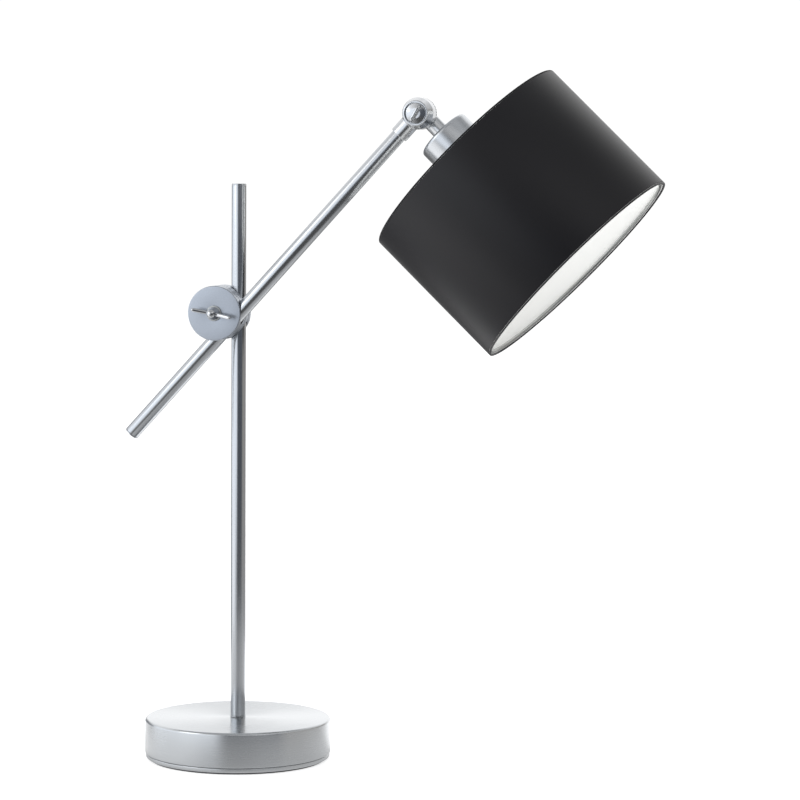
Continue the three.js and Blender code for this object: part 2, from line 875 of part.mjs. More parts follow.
// The shade's axis: Z from the knuckle's pivot towards the shade's open end.
const shadeAxis = frame(head, [0, 0, headPlane], { y: Math.PI / 2 });
addHolder(shadeAxis);
addBulb(shadeAxis);
addShade(shadeAxis);

export default lamp;
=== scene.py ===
import math

import bmesh
import bpy
import numpy as np
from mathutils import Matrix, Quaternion, Vector


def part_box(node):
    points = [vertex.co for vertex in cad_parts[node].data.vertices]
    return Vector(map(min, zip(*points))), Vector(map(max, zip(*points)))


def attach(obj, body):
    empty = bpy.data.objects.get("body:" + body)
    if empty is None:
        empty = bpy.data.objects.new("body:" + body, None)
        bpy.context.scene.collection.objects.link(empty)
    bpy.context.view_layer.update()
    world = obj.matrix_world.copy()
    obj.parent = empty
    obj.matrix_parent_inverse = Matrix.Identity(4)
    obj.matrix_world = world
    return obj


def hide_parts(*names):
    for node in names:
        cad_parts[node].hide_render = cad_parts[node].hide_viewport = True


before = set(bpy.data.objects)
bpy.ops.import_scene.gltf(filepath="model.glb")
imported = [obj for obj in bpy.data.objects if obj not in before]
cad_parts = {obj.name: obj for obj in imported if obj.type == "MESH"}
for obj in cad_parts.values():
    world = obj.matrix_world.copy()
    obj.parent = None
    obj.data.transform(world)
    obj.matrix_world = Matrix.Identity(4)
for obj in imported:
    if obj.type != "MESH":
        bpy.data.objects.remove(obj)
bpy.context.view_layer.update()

MM = 0.001


# ---------------------------------------------------------------- Studio
# A pale floor that runs to the horizon, under a white studio: a large soft panel to the left,
# a dark room behind the camera, a grey wall to the right and an overhead diffuser.
class Value:
    """A number or colour inside a node tree. Arithmetic on a number adds its Math nodes."""

    def __init__(self, finish, socket):
        self.finish = finish
        self.socket = socket

    def math(self, operation, *others):
        inputs = dict(enumerate((self, *others)))
        return self.finish.node("Math", {"operation": operation}, inputs)

    def __add__(self, other):
        return self.math("ADD", other)

    def __radd__(self, other):
        return self.math("ADD", other)

    def __sub__(self, other):
        return self.math("SUBTRACT", other)

    def __rsub__(self, other):
        return self.finish.node("Math", {"operation": "SUBTRACT"}, {0: other, 1: self})

    def __mul__(self, other):
        return self.math("MULTIPLY", other)

    def __rmul__(self, other):
        return self.math("MULTIPLY", other)

    def __truediv__(self, other):
        return self.math("DIVIDE", other)


class Finish:
    """A material or a world: its node tree, and one way of adding a node to it."""

    def __init__(self, name, owner=None):
        self.owner = owner or bpy.data.materials.new(name)
        self.owner.use_nodes = True
        self.tree = self.owner.node_tree
        self.shader = self.tree.nodes.get("Principled BSDF") or self.tree.nodes["Background"]

    def node(self, kind, settings=None, inputs=None, output=0):
        """Adds a node: its settings first, then its sockets' values or links."""
        made = self.tree.nodes.new("ShaderNode" + kind)
        for key, value in (settings or {}).items():
            if key == "stops":
                set_stops(made.color_ramp, value)
            else:
                setattr(made, key, value)
        for key, value in (inputs or {}).items():
            self.feed(made.inputs[key], value)
        return Value(self, made.outputs[output])

    def feed(self, socket, value):
        if isinstance(value, Value):
            self.tree.links.new(value.socket, socket)
        else:
            socket.default_value = value

    def set(self, **sockets):
        """Sets or links the shader's own sockets, with _ for a space."""
        for key, value in sockets.items():
            self.feed(self.shader.inputs[key.replace("_", " ")], value)
        return self

    def here(self):
        """The point of the surface, in the piece's own axes."""
        return self.node("TexCoord", output="Object")

    def parts(self, vector):
        """The x, y and z of a vector."""
        outputs = self.node("SeparateXYZ", {}, {0: vector}).socket.node.outputs
        return [Value(self, output) for output in outputs]

    def vector(self, operation, *values, output="Vector", **sockets):
        """A Vector Math node on the values."""
        inputs = {**dict(enumerate(values)), **sockets}
        return self.node("VectorMath", {"operation": operation}, inputs, output)

    def bump(self, height, strength, distance):
        """A relief for the Normal socket, distance in metres from its lowest to its highest."""
        inputs = {"Strength": strength, "Distance": distance, "Height": height}
        return self.node("Bump", {}, inputs)

    def ramp(self, factor, stops, interpolation="LINEAR"):
        """Colours by position, or greys where a stop gives one number."""
        made = self.node("ValToRGB", {"stops": stops}, {0: factor})
        made.socket.node.color_ramp.interpolation = interpolation
        return made

    def mix(self, factor, low, high):
        """A colour between low and high."""
        return self.node("Mix", {"data_type": "RGBA"}, {0: factor, 6: low, 7: high}, 2)

    def spread(self, value, low, high, to_low, to_high):
        """A number carried smoothly from one range into another, and held at its ends."""
        inputs = {0: value, 1: low, 2: high, 3: to_low, 4: to_high}
        return self.node("MapRange", {"interpolation_type": "SMOOTHSTEP"}, inputs)

    def noise(self, place, scale, detail=3.0, roughness=0.55):
        """Cloudy noise from 0 to 1, its mean near a half."""
        inputs = {"Vector": place, "Scale": scale, "Detail": detail, "Roughness": roughness}
        return self.node("TexNoise", {}, inputs)


def set_stops(ramp, stops):
    """Gives a colour ramp exactly these (position, grey or colour) stops."""
    while len(ramp.elements) > 1:
        ramp.elements.remove(ramp.elements[-1])
    for i, (position, colour) in enumerate(stops):
        element = ramp.elements[0] if i == 0 else ramp.elements.new(position)
        element.position = position
        grey = isinstance(colour, (int, float))
        element.color = (colour, colour, colour, 1.0) if grey else (*colour, 1.0)


def tone(red, green, blue):
    """A screen colour, each from 0 to 255, as the linear colour that a shader takes."""
    screen = np.array([red, green, blue]) / 255
    linear = np.where(screen > 0.04045, ((screen + 0.055) / 1.055) ** 2.4, screen / 12.92)
    return (*map(float, linear), 1.0)


# Light from each side, as (degrees from straight in front towards +X, colour): level with the
# lamp, from the floor around it, and from above.
PANEL_LIGHT = (1.28, 1.34, 1.42)
ROOM_DARK = (0.10, 0.11, 0.13)
WALL_GREY = (0.40, 0.38, 0.36)
BACK_WHITE = (1.2, 1.2, 1.2)
CORNER_DARK = (0.24, 0.25, 0.27)
ROUND_THE_ROOM = [
    (-180, BACK_WHITE), (-160, BACK_WHITE), (-142, CORNER_DARK), (-116, CORNER_DARK),
    (-104, PANEL_LIGHT), (-16, PANEL_LIGHT), (4, ROOM_DARK), (66, ROOM_DARK),
    (82, WALL_GREY), (150, WALL_GREY), (170, BACK_WHITE), (180, BACK_WHITE),
]
FROM_THE_FLOOR = [
    (-180, 0.2), (-125, 0.2), (-100, 0.6), (-75, 1.5), (-45, 1.3), (-25, 0.4), (-4, 0.1),
    (45, 0.1), (90, 0.4), (150, 0.45), (180, 0.3),
]
FROM_ABOVE = [
    (-180, 1.25), (-140, 1.1), (-90, 0.9), (-35, 1.0), (0, 0.5), (28, 0.7), (48, 1.0), (75, 0.7),
    (105, 0.6), (135, 0.7), (165, 1.25), (180, 1.25),
]
CEILING = (0.25, 0.26, 0.27, 1.0)
BACKDROP = (1.05, 1.05, 1.05, 1.0)

# The upward part of a direction over which each set of lights hands over to the next.
FLOOR_TO_ROOM = (-0.27, -0.1)
ROOM_TO_ABOVE = (0.2, 0.4)
ABOVE_TO_CEILING = (0.62, 0.85)


def by_side(finish, across, along, stops):
    """A colour by direction on the level, from (degrees from straight in front, colour) stops."""
    turn = across.math("ARCTAN2", along * -1.0) / (2 * math.pi) + 0.5
    return finish.ramp(turn, [((a + 180) / 360, colour) for a, colour in stops], "EASE")


studio = Finish("studio", bpy.data.worlds.new("studio"))
bpy.context.scene.world = studio.owner
across, along, upward = studio.parts(studio.node("TexCoord"))
sides, below, above = (
    by_side(studio, across, along, stops) for stops in (ROUND_THE_ROOM, FROM_THE_FLOOR, FROM_ABOVE)
)
lit = studio.mix(studio.spread(upward, *ROOM_TO_ABOVE, 0.0, 1.0), sides, above)
lit = studio.mix(studio.spread(upward, *ABOVE_TO_CEILING, 0.0, 1.0), lit, CEILING)
lit = studio.mix(studio.spread(upward, *FLOOR_TO_ROOM, 1.0, 0.0), lit, below)
studio.set(Color=studio.mix(studio.node("LightPath"), lit, BACKDROP), Strength=1.0)

FLOOR_SIZE = 14.0
FLOOR_LEVEL = -0.2 * MM  # clear of the pad, so that the two faces do not mix
bpy.ops.mesh.primitive_plane_add(size=FLOOR_SIZE, location=(0, 0, FLOOR_LEVEL))
floor = bpy.context.object
floor.name = "floor"
floor.visible_glossy = False
floor_paint = Finish("floor_paint")
cloud = floor_paint.noise(floor_paint.here(), 1.5)
floor_paint.set(
    Base_Color=floor_paint.ramp(cloud, [(0.0, 0.93), (1.0, 0.95)]),
    Roughness=0.9,
    Emission_Color=(1.0, 1.0, 1.0, 1.0),
    Emission_Strength=0.6,
)
floor.data.materials.append(floor_paint.owner)

# A sheet under the lamp shows only in its plating and glows in place of the lit table: painted
# light, bright at the back and the left, with a dimmer grey close to the base that is painted
# shade.
PAPER_RADIUS = 0.45
PAPER_NEAR = (0.083, 0.1)
PAINTED_SHADE_NEAR_BASE = (0.6, 0.6, 0.6, 1.0)
PAINTED_TABLE_LIGHT_BY_SIDE = [
    (-180, 1.4), (-140, 1.4), (-108, 0.95), (-45, 0.82), (14, 0.44), (70, 0.56), (118, 0.72),
    (150, 1.4), (180, 1.4),
]
bpy.ops.mesh.primitive_circle_add(vertices=96, radius=PAPER_RADIUS, fill_type="NGON")
paper = bpy.context.object
paper.name = "paper"
paper.visible_camera = paper.visible_diffuse = paper.visible_shadow = False
painted_table_light_card = Finish("painted_table_light_card")
paper_spot = painted_table_light_card.here()
across, along, _ = painted_table_light_card.parts(paper_spot)
painted_table_light = by_side(painted_table_light_card, across, along, PAINTED_TABLE_LIGHT_BY_SIDE)
# Close to the base the glow falls to a grey: painted shade of the base on the table.
near = painted_table_light_card.spread(
    painted_table_light_card.vector("LENGTH", paper_spot, output="Value"), *PAPER_NEAR, 1.0, 0.0
)
# The sheet's whole colour is its glow: painted light, not a lit surface.
painted_table_light_card.set(
    Base_Color=(0.0, 0.0, 0.0, 1.0),
    Roughness=1.0,
    Specular_IOR_Level=0.0,
    Emission_Color=painted_table_light_card.mix(near, painted_table_light, PAINTED_SHADE_NEAR_BASE),
    Emission_Strength=1.0,
)
paper.data.materials.append(painted_table_light_card.owner)


def softbox(name, place, aim, size, power):
    """A square soft light at one point, facing another."""
    light = bpy.data.lights.new(name, "AREA")
    light.size = size
    light.energy = power
    lamp = bpy.data.objects.new(name, light)
    lamp.location = place
    lamp.rotation_mode = "QUATERNION"
    lamp.rotation_quaternion = (Vector(place) - Vector(aim)).to_track_quat("Z", "Y")
    bpy.context.scene.collection.objects.link(lamp)


LAMP_MIDDLE = (0.14, 0.0, 0.3)
softbox("overhead_box", (0.1, 0.1, 2.2), LAMP_MIDDLE, 2.4, 5.0)
softbox("left_box", (-1.7, -1.5, 1.3), LAMP_MIDDLE, 1.1, 5.0)

# The camera stands a little to the right of straight in front, just above the lamp's middle.
CAMERA_TURN = math.radians(13.91)
CAMERA_RISE = math.radians(4.5)
CAMERA_ROLL = math.radians(0.37)
CAMERA_AWAY = 2.6
CAMERA_AIM = Vector((0.13982, 0.0, 0.30777))
CAMERA_LENS = 140.86

camera = bpy.data.objects.new("camera", bpy.data.cameras.new("camera"))
bpy.context.scene.collection.objects.link(camera)
back = Vector((
    math.sin(CAMERA_TURN) * math.cos(CAMERA_RISE),
    -math.cos(CAMERA_TURN) * math.cos(CAMERA_RISE),
    math.sin(CAMERA_RISE),
))
camera.location = CAMERA_AIM + back * CAMERA_AWAY
camera.rotation_mode = "QUATERNION"
camera.rotation_quaternion = back.to_track_quat("Z", "Y") @ Quaternion((0, 0, 1), CAMERA_ROLL)
camera.data.lens = CAMERA_LENS
camera.data.sensor_width = 36
camera.data.clip_start = 0.05
camera.data.clip_end = 100
bpy.context.scene.camera = camera
bpy.context.scene.view_settings.view_transform = "Standard"


# ---------------------------------------------------------------- Base cover
# The round base is a cover spun from steel sheet over a cast iron disc: a flat top, a small
# rounded edge, a straight side, and a hole in the rear wall for the cord's bush. It is
# nickel plated and brushed round its axis.
def rounded(corners, steps=7):
    """An outline through (x, y, fillet) corners. A fillet is the arc of its radius that touches
    both sides of its corner: the centre lies on the corner's bisector, and the arc runs
    from one touching point to the other."""
    places = np.array([corner[:2] for corner in corners], float)
    made = []
    for i, (x, y, fillet) in enumerate(corners):
        here = np.array([x, y], float)
        if fillet <= 0:
            made.append(here[None])
            continue
        before = places[i - 1] - here
        after = places[(i + 1) % len(corners)] - here
        before /= np.linalg.norm(before)
        after /= np.linalg.norm(after)
        half = math.acos(np.clip(before @ after, -1, 1)) / 2
        bisector = (before + after) / np.linalg.norm(before + after)
        centre = here + bisector * fillet / math.sin(half)
        start = here + before * fillet / math.tan(half) - centre
        end = here + after * fillet / math.tan(half) - centre
        sweep = math.acos(np.clip(start @ end / fillet**2, -1, 1))
        share = np.linspace(0, 1, steps + 1)[:, None]
        arc = (np.sin((1 - share) * sweep) * start + np.sin(share * sweep) * end) / math.sin(sweep)
        made.append(centre + arc)
    return np.concatenate(made)


def unit(vector):
    return np.array(vector, float) / np.linalg.norm(vector)


def square_to(axis):
    """Two directions square to the axis and to each other."""
    axis = unit(axis)
    helper = np.array([0.0, 0.0, 1.0]) if abs(axis[2]) < 0.9 else np.array([1.0, 0.0, 0.0])
    side = unit(np.cross(helper, axis))
    return side, np.cross(axis, side)


def grid_piece(name, points, ring_rows):
    """A closed piece from a grid of points: rows along the first index, joined into a ring when
    ring_rows is true, and columns always joined into a ring. Rows on one point are poles."""
    rows, columns, _ = points.shape
    index = np.arange(rows * columns).reshape(rows, columns)
    low = index if ring_rows else index[:-1]
    high = np.roll(index, -1, 0) if ring_rows else index[1:]
    quads = np.stack([low, np.roll(low, -1, 1), np.roll(high, -1, 1), high], -1).reshape(-1, 4)
    mesh = bpy.data.meshes.new(name)
    mesh.from_pydata(points.reshape(-1, 3).tolist(), [], quads.tolist())
    piece = bpy.data.objects.new(name, mesh)
    bpy.context.scene.collection.objects.link(piece)
    tidy(mesh)
    return piece


def tidy(mesh, crease=math.radians(32)):
    """Merges doubled points, turns the faces outwards and shades all but the creases smooth."""
    work = bmesh.new()
    work.from_mesh(mesh)
    bmesh.ops.remove_doubles(work, verts=work.verts, dist=1e-7)
    bmesh.ops.recalc_face_normals(work, faces=work.faces)
    for face in work.faces:
        face.smooth = True
    work.to_mesh(mesh)
    work.free()
    mesh.set_sharp_from_angle(angle=crease)


def turned(name, outline, centre=(0, 0, 0), axis=(0, 0, 1), around=160, ripple=None):
    """A piece turned on a lathe: the outline's (radius, height) swept round the axis, so a point
    is centre + height * axis + radius * (side * cos + up * sin). An outline that starts on
    the axis ends on it, and any other closes on itself. ripple(radius, height, angle) gives
    what to add to the radius and to the height."""
    side, up = square_to(axis)
    angle = np.linspace(0, 2 * np.pi, around, endpoint=False)[None]
    radius, height = (column[:, None] + 0 * angle for column in np.array(outline, float).T)
    if ripple:
        more_radius, more_height = ripple(radius, height, angle)
        radius, height = radius + more_radius, height + more_height
    ring = np.cos(angle)[..., None] * side + np.sin(angle)[..., None] * up
    points = np.array(centre) + height[..., None] * unit(axis) + radius[..., None] * ring
    return grid_piece(name, points, outline[0][0] > 1e-9)


def pipe(name, outer, inner, low, high, edge, centre=(0, 0, 0), axis=(0, 0, 1), around=160):
    """A length of tube with lightly rounded ends."""
    corners = [(inner, low, edge), (outer, low, edge), (outer, high, edge), (inner, high, edge)]
    return turned(name, rounded(corners, 4), centre, axis, around)


def settle(piece):
    """Makes the piece's mesh what its modifiers draw."""
    bpy.context.view_layer.update()
    drawn = piece.evaluated_get(bpy.context.evaluated_depsgraph_get())
    made = bpy.data.meshes.new_from_object(drawn)
    piece.modifiers.clear()
    piece.data = made
    tidy(made)


def combine(piece, others, operation):
    """The piece with the others cut away from it or joined to it, as one closed mesh."""
    for other in others:
        step = piece.modifiers.new(operation, "BOOLEAN")
        step.operation = operation
        step.object = other
        step.solver = "EXACT"
    settle(piece)
    for other in others:
        bpy.data.objects.remove(other)


def place(piece, body, nodes, slot, finish):
    """Gives a piece its finish, its body and the CAD nodes that it stands for."""
    piece.data.materials.clear()
    piece.data.materials.append(finish.owner)
    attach(piece, body)
    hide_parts(*nodes)


def round_coordinates(finish, centre, axis):
    """A point's distance from an axis, its height along it and the point itself, in metres."""
    aim = tuple(unit(axis))
    local = finish.vector("SUBTRACT", finish.here(), tuple(centre))
    height = finish.vector("DOT_PRODUCT", local, aim, output="Value")
    out = finish.vector("SUBTRACT", local, finish.vector("SCALE", aim, Scale=height))
    radius = finish.vector("LENGTH", out, output="Value")
    return radius, height, local


def plate(finish, grain, local, colour, roughness, lines, speckle):
    """Nickel plate over worked steel. The grain darkens, dulls and raises the surface a little,
    handling marks are broad patches where the shine is duller, and speckle is the strength
    of the tiny pits that a bead-blasted surface keeps under its nickel."""
    smudge = finish.noise(local, 26.0, 3.0, 0.5)
    pits = finish.noise(local, 1500.0, 2.0, 0.5)
    worn = finish.spread(smudge, 0.35, 0.75, 0.0, 1.0)
    dull = roughness + (grain - 0.5) * 0.12 + worn * 0.04 + (pits - 0.5) * speckle * 0.2
    dark = tuple(0.86 * c for c in colour[:3]) + (1.0,)
    shade = (grain - 0.5) * 0.9 + 0.5 + (pits - 0.5) * speckle * 2.0
    relief = grain * lines + pits * speckle * 0.6
    finish.set(
        Base_Color=finish.mix(shade, dark, colour),
        Metallic=1.0,
        Roughness=dull,
        Normal=finish.bump(relief, 0.07, 0.04 * MM),
    )
    return finish


def turned_metal(name, centre, axis, colour, roughness, lines, speckle=0.0):
    """Plated metal brushed round an axis. Fine lines are noise of (radius, height) alone, so
    they run round the piece; a second, slow noise of the place breaks them into strokes."""
    finish = Finish(name)
    radius, height, local = round_coordinates(finish, centre, axis)
    slow = finish.vector("SCALE", local, Scale=9.0)
    line = finish.node("CombineXYZ", {}, {0: radius * 2600.0, 1: height * 2600.0, 2: 0.0})
    grain = finish.noise(finish.vector("ADD", line, slow), 1.0, 4.0, 0.65)
    return plate(finish, grain, local, colour, roughness, lines, speckle)


COVER_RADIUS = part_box("base_cover")[1].x
COVER_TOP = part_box("base_cover")[1].z
COVER_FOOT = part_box("base_cover")[0].z
COVER_WALL = 1.6 * MM
COVER_EDGE = 2.4 * MM
COVER_FOOT_EDGE = 1.0 * MM
NIPPLE_HOLE = 4.3 * MM
INLET_HEIGHT = (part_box("cord_inlet_bush")[0].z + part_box("cord_inlet_bush")[1].z) / 2
INLET_HOLE = 4.9 * MM
BASE_NICKEL = tone(214, 217, 220)

brushed_base = turned_metal("brushed_base", (0, 0, 0), (0, 0, 1), BASE_NICKEL, 0.24, 1.0, 0.1)
brushed_base.set(Anisotropic=0.8, Anisotropic_Rotation=0.25)
cover = turned(
    "base_cover_shell",
    rounded([
        (COVER_RADIUS - COVER_WALL, COVER_FOOT, 0.3 * MM),
        (COVER_RADIUS, COVER_FOOT, COVER_FOOT_EDGE),
        (COVER_RADIUS, COVER_TOP, COVER_EDGE),
        (NIPPLE_HOLE, COVER_TOP, 0.3 * MM),
        (NIPPLE_HOLE, COVER_TOP - COVER_WALL, 0.3 * MM),
        (COVER_RADIUS - COVER_WALL, COVER_TOP - COVER_WALL, COVER_EDGE - COVER_WALL),
    ]),
    around=256,
)
inlet_cut = turned(
    "inlet_cut",
    [(0, 0), (INLET_HOLE, 0), (INLET_HOLE, 20 * MM), (0, 20 * MM)],
    (0, COVER_RADIUS - 10 * MM, INLET_HEIGHT),
    (0, 1, 0),
    64,
)
combine(cover, [inlet_cut], "DIFFERENCE")
place(cover, "base", ["base_cover"], "brushed_nickel", brushed_base)


# ---------------------------------------------------------------- Bottom pan and foot pad
# A shallow pan pressed from steel closes the base; its rim shows as a bead just inside the
# cover's lower edge. A disc of wool felt is glued under it.
PAN_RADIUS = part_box("bottom_pan")[1].x
PAN_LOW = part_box("bottom_pan")[0].z
PAN_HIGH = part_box("bottom_pan")[1].z
PAN_WALL = 1.5 * MM
PAD_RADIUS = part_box("foot_pad")[1].x
PAD_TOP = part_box("foot_pad")[1].z
FELT_DARK = tone(34, 35, 38)
FELT_LIGHT = tone(62, 63, 67)

pan = turned(
    "bottom_pan_pressing",
    rounded([
        (0, PAN_LOW, 0),
        (PAN_RADIUS, PAN_LOW, 1.3 * MM),
        (PAN_RADIUS, PAN_HIGH, 0.5 * MM),
        (PAN_RADIUS - PAN_WALL, PAN_HIGH, 0.5 * MM),
        (PAN_RADIUS - PAN_WALL, PAN_LOW + PAN_WALL, 0.5 * MM),
        (0, PAN_LOW + PAN_WALL, 0),
    ]),
    around=256,
)
place(pan, "base", ["bottom_pan"], "satin_nickel", brushed_base)

felt = Finish("wool_felt")
fibre = felt.noise(felt.here(), 900.0, 6.0, 0.75)
mottle = felt.noise(felt.here(), 60.0, 3.0)
felt.set(
    Base_Color=felt.mix(fibre * 0.7 + mottle * 0.3, FELT_DARK, FELT_LIGHT),
    Roughness=0.95,
    Normal=felt.bump(fibre, 0.7, 0.4 * MM),
)
pad = turned(
    "felt_pad",
    rounded([
        (0, 0, 0),
        (PAD_RADIUS, 0, 0.4 * MM),
        (PAD_RADIUS, PAD_TOP, 0.4 * MM),
        (0, PAD_TOP, 0),
    ]),
    around=256,
)
place(pad, "base", ["foot_pad"], "felt", felt)


# ---------------------------------------------------------------- Cord inlet bush
# A nylon bush snapped into the cover's rear wall: a domed flange outside, a smooth bore for
# the cord, and a fine moulded texture.
BUSH_BORE = 3.4 * MM
BUSH_RADIUS = 4.6 * MM
BUSH_FLANGE = 6.4 * MM
BUSH_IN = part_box("cord_inlet_bush")[0].y
BUSH_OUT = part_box("cord_inlet_bush")[1].y
BUSH_SEAT = COVER_RADIUS + 0.1 * MM


def moulded(name, colour, roughness, grain=1400.0):
    """Moulded plastic: one colour with faint flow marks, a fine spark texture in relief, and a
    sheen that changes a little from patch to patch."""
    finish = Finish(name)
    spot = finish.here()
    texture = finish.noise(spot, grain, 3.0, 0.6)
    flow = finish.noise(spot, 55.0, 2.0, 0.5)
    lighter = tuple(min(1.0, 1.25 * c + 0.004) for c in colour[:3]) + (1.0,)
    finish.set(
        Base_Color=finish.mix(flow * 0.6 + texture * 0.4, colour, lighter),
        Roughness=roughness + (flow - 0.5) * 0.12 + (texture - 0.5) * 0.1,
        Normal=finish.bump(texture, 0.25, 0.08 * MM),
    )
    return finish


nylon = moulded("black_nylon", tone(40, 41, 44), 0.5)
bush = turned(
    "cord_bush",
    rounded([
        (BUSH_BORE, BUSH_IN, 0.4 * MM),
        (BUSH_RADIUS, BUSH_IN, 0.3 * MM),
        (BUSH_RADIUS, BUSH_SEAT, 0),
        (BUSH_FLANGE, BUSH_SEAT, 0.3 * MM),
        (BUSH_FLANGE - 0.6 * MM, BUSH_OUT, 1.1 * MM),
        (BUSH_BORE, BUSH_OUT, 0.5 * MM),
    ]),
    (0, 0, INLET_HEIGHT),
    (0, 1, 0),
    96,
)
place(bush, "base", ["cord_inlet_bush"], "nylon", nylon)


# ---------------------------------------------------------------- Weight, nipple, nut and washer
# A sand-cast iron disc gives the base its weight. A threaded steel nipple, its nut and
# its washer draw the post, the cover and the weight together from below.
def dress(nodes, finish):
    """Gives CAD nodes that stay as they are their finish."""
    for name in nodes:
        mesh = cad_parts[name].data
        mesh.materials.clear()
        mesh.materials.append(finish.owner)


IRON_DARK = tone(52, 53, 56)
IRON_LIGHT = tone(92, 92, 94)
ZINC = tone(196, 198, 196)


def sand_cast(name, dark, light, roughness):
    """Metal cast in sand: coarse grains in relief, with darker hollows between them."""
    finish = Finish(name)
    spot = finish.here()
    sand = finish.noise(spot, 700.0, 5.0, 0.7)
    scale = finish.noise(spot, 35.0, 4.0, 0.6)
    finish.set(
        Base_Color=finish.mix(sand * 0.6 + scale * 0.4, dark, light),
        Metallic=0.7,
        Roughness=roughness + (scale - 0.5) * 0.2,
        Normal=finish.bump(sand, 0.6, 0.4 * MM),
    )
    return finish


def zinc_plated(name, colour):
    """Bright zinc on turned steel: faint crystals in the colour and a patchy, half-dull shine."""
    finish = Finish(name)
    spot = finish.here()
    crystal = finish.node("TexVoronoi", {}, {"Vector": spot, "Scale": 900.0})
    bloom = finish.noise(spot, 90.0, 3.0, 0.6)
    fine = finish.noise(spot, 1800.0, 2.0, 0.5)
    dark = tuple(0.72 * c for c in colour[:3]) + (1.0,)
    finish.set(
        Base_Color=finish.mix(crystal * 0.5 + bloom * 0.6, dark, colour),
        Metallic=1.0,
        Roughness=bloom * 0.22 + 0.24,
        Normal=finish.bump(fine, 0.15, 0.05 * MM),
    )
    return finish


zinc = zinc_plated("bright_zinc", ZINC)
dress(["base_weight"], sand_cast("sand_cast_iron", IRON_DARK, IRON_LIGHT, 0.7))
dress(["base_nipple", "base_washer", "base_nut"], zinc)


# ---------------------------------------------------------------- Post
# A drawn steel tube with a cap pressed into its top, standing on a thin ring on the base. It is
# nickel plated and polished to a satin along its length.
ROUND_TUBE = 96
TUBE_RADIUS = 6.2 * MM
TUBE_BORE = 5.2 * MM
TUBE_END = 0.15 * MM
UP = (0, 0, 1)
POST_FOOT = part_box("post_tube")[0].z
POST_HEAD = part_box("post_tube")[1].z
POST_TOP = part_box("post_cap")[1].z
CAP_THICKNESS = 1.0 * MM
CAP_PLUG = 8.0 * MM
CAP_ROUND = 0.45 * MM
PLUG_RADIUS = 4.9 * MM
RING_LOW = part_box("post_foot_ring")[0].z
RING_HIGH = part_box("post_foot_ring")[1].z
RING_RADIUS = 6.5 * MM
SATIN_NICKEL = tone(206, 209, 213)
TUBE_SHINE = 0.21


def drawn_metal(name, centre, axis, colour, roughness, lines):
    """Plated metal polished along an axis: noise drawn out lengthwise into fine straight lines."""
    finish = Finish(name)
    _, height, local = round_coordinates(finish, centre, axis)
    spine = finish.vector("SCALE", tuple(unit(axis)), Scale=height * -0.985)
    grain = finish.noise(finish.vector("ADD", local, spine), 2400.0, 3.0, 0.6)
    return plate(finish, grain, local, colour, roughness, lines, 0.0)


def end_cap(name, centre, axis):
    """A tube's end cap: a disc with a rounded edge, and a plug that fits the bore. The centre is
    the disc's outer face and the axis points out of it."""
    under = -CAP_THICKNESS
    return turned(
        name,
        rounded([
            (0, under - CAP_PLUG, 0),
            (PLUG_RADIUS, under - CAP_PLUG, 0.5 * MM),
            (PLUG_RADIUS, under, 0),
            (TUBE_RADIUS, under, 0.1 * MM),
            (TUBE_RADIUS, 0, CAP_ROUND),
            (0, 0, 0),
        ]),
        centre,
        axis,
        ROUND_TUBE,
    )


satin_post = drawn_metal("satin_post", (0, 0, 0), UP, SATIN_NICKEL, TUBE_SHINE, 0.6)
post = pipe(
    "post_drawn_tube", TUBE_RADIUS, TUBE_BORE, POST_FOOT, POST_HEAD, TUBE_END, around=ROUND_TUBE
)
place(post, "base", ["post_tube"], "satin_nickel", satin_post)
post_lid = end_cap("post_pressed_cap", (0, 0, POST_TOP), UP)
place(post_lid, "base", ["post_cap"], "satin_nickel", satin_post)
ring = pipe("post_ring", RING_RADIUS, NIPPLE_HOLE, RING_LOW, RING_HIGH, 0.2 * MM, around=ROUND_TUBE)
place(ring, "base", ["post_foot_ring"], "satin_nickel", satin_post)
dress(["post_foot_insert"], zinc)


# ---------------------------------------------------------------- Clamp liners
# Each tube slides and turns in a split sleeve of nylon that lines the clamp's channel. Its ends
# lie just inside the discs' rim.
CLAMP_AXIS = np.array([-14.5, 0, 378.1]) * MM
ARM_PLANE = -15.9 * MM
ARM_RISE = math.radians(47.5)
ARM_UP = np.array([math.cos(ARM_RISE), 0, math.sin(ARM_RISE)])
TUBE_OFFSET = 14.5 * MM
ARM_SIDE = np.array([math.sin(ARM_RISE), 0, -math.cos(ARM_RISE)])
ARM_FOOT = CLAMP_AXIS + (0, ARM_PLANE, 0) + TUBE_OFFSET * ARM_SIDE
POST_GRIP = np.array([0, 0, CLAMP_AXIS[2]])
LINER_INNER = 6.4 * MM
LINER_OUTER = 6.95 * MM
LINER_HALF = (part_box("post_liner")[1].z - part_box("post_liner")[0].z) / 2

sleeves = [
    ("post_split_sleeve", POST_GRIP, UP, "post_carriage", "post_liner"),
    ("arm_split_sleeve", ARM_FOOT, ARM_UP, "arm_carriage", "arm_liner"),
]
for sleeve_name, middle, direction, body, node in sleeves:
    sleeve = pipe(
        sleeve_name, LINER_OUTER, LINER_INNER, -LINER_HALF, LINER_HALF, 0.1 * MM,
        middle, direction, ROUND_TUBE,
    )
    place(sleeve, body, [node], "nylon", nylon)


# ---------------------------------------------------------------- Disc clamp
# Four turned steel shells in a stack hold the two tubes: a pair round the post and a pair round
# the arm. Fine radial teeth where the pairs meet keep the arm's angle. The faces are blasted and
# nickel plated, and the rims are turned smooth.
OUTWARD = np.array([0, -1, 0])
DISC_RADIUS = 22.9 * MM
DISC_EDGE = 0.7 * MM
DISC_BORE = 3.3 * MM
CHANNEL_RADIUS = 7.15 * MM
DISC_TEETH = 36
DISC_TOOTH_DEPTH = 0.45 * MM
DISC_TOOTH_START = 17.0 * MM
ROUND_DISC = DISC_TEETH * 8
DISC_NICKEL = tone(188, 194, 203)
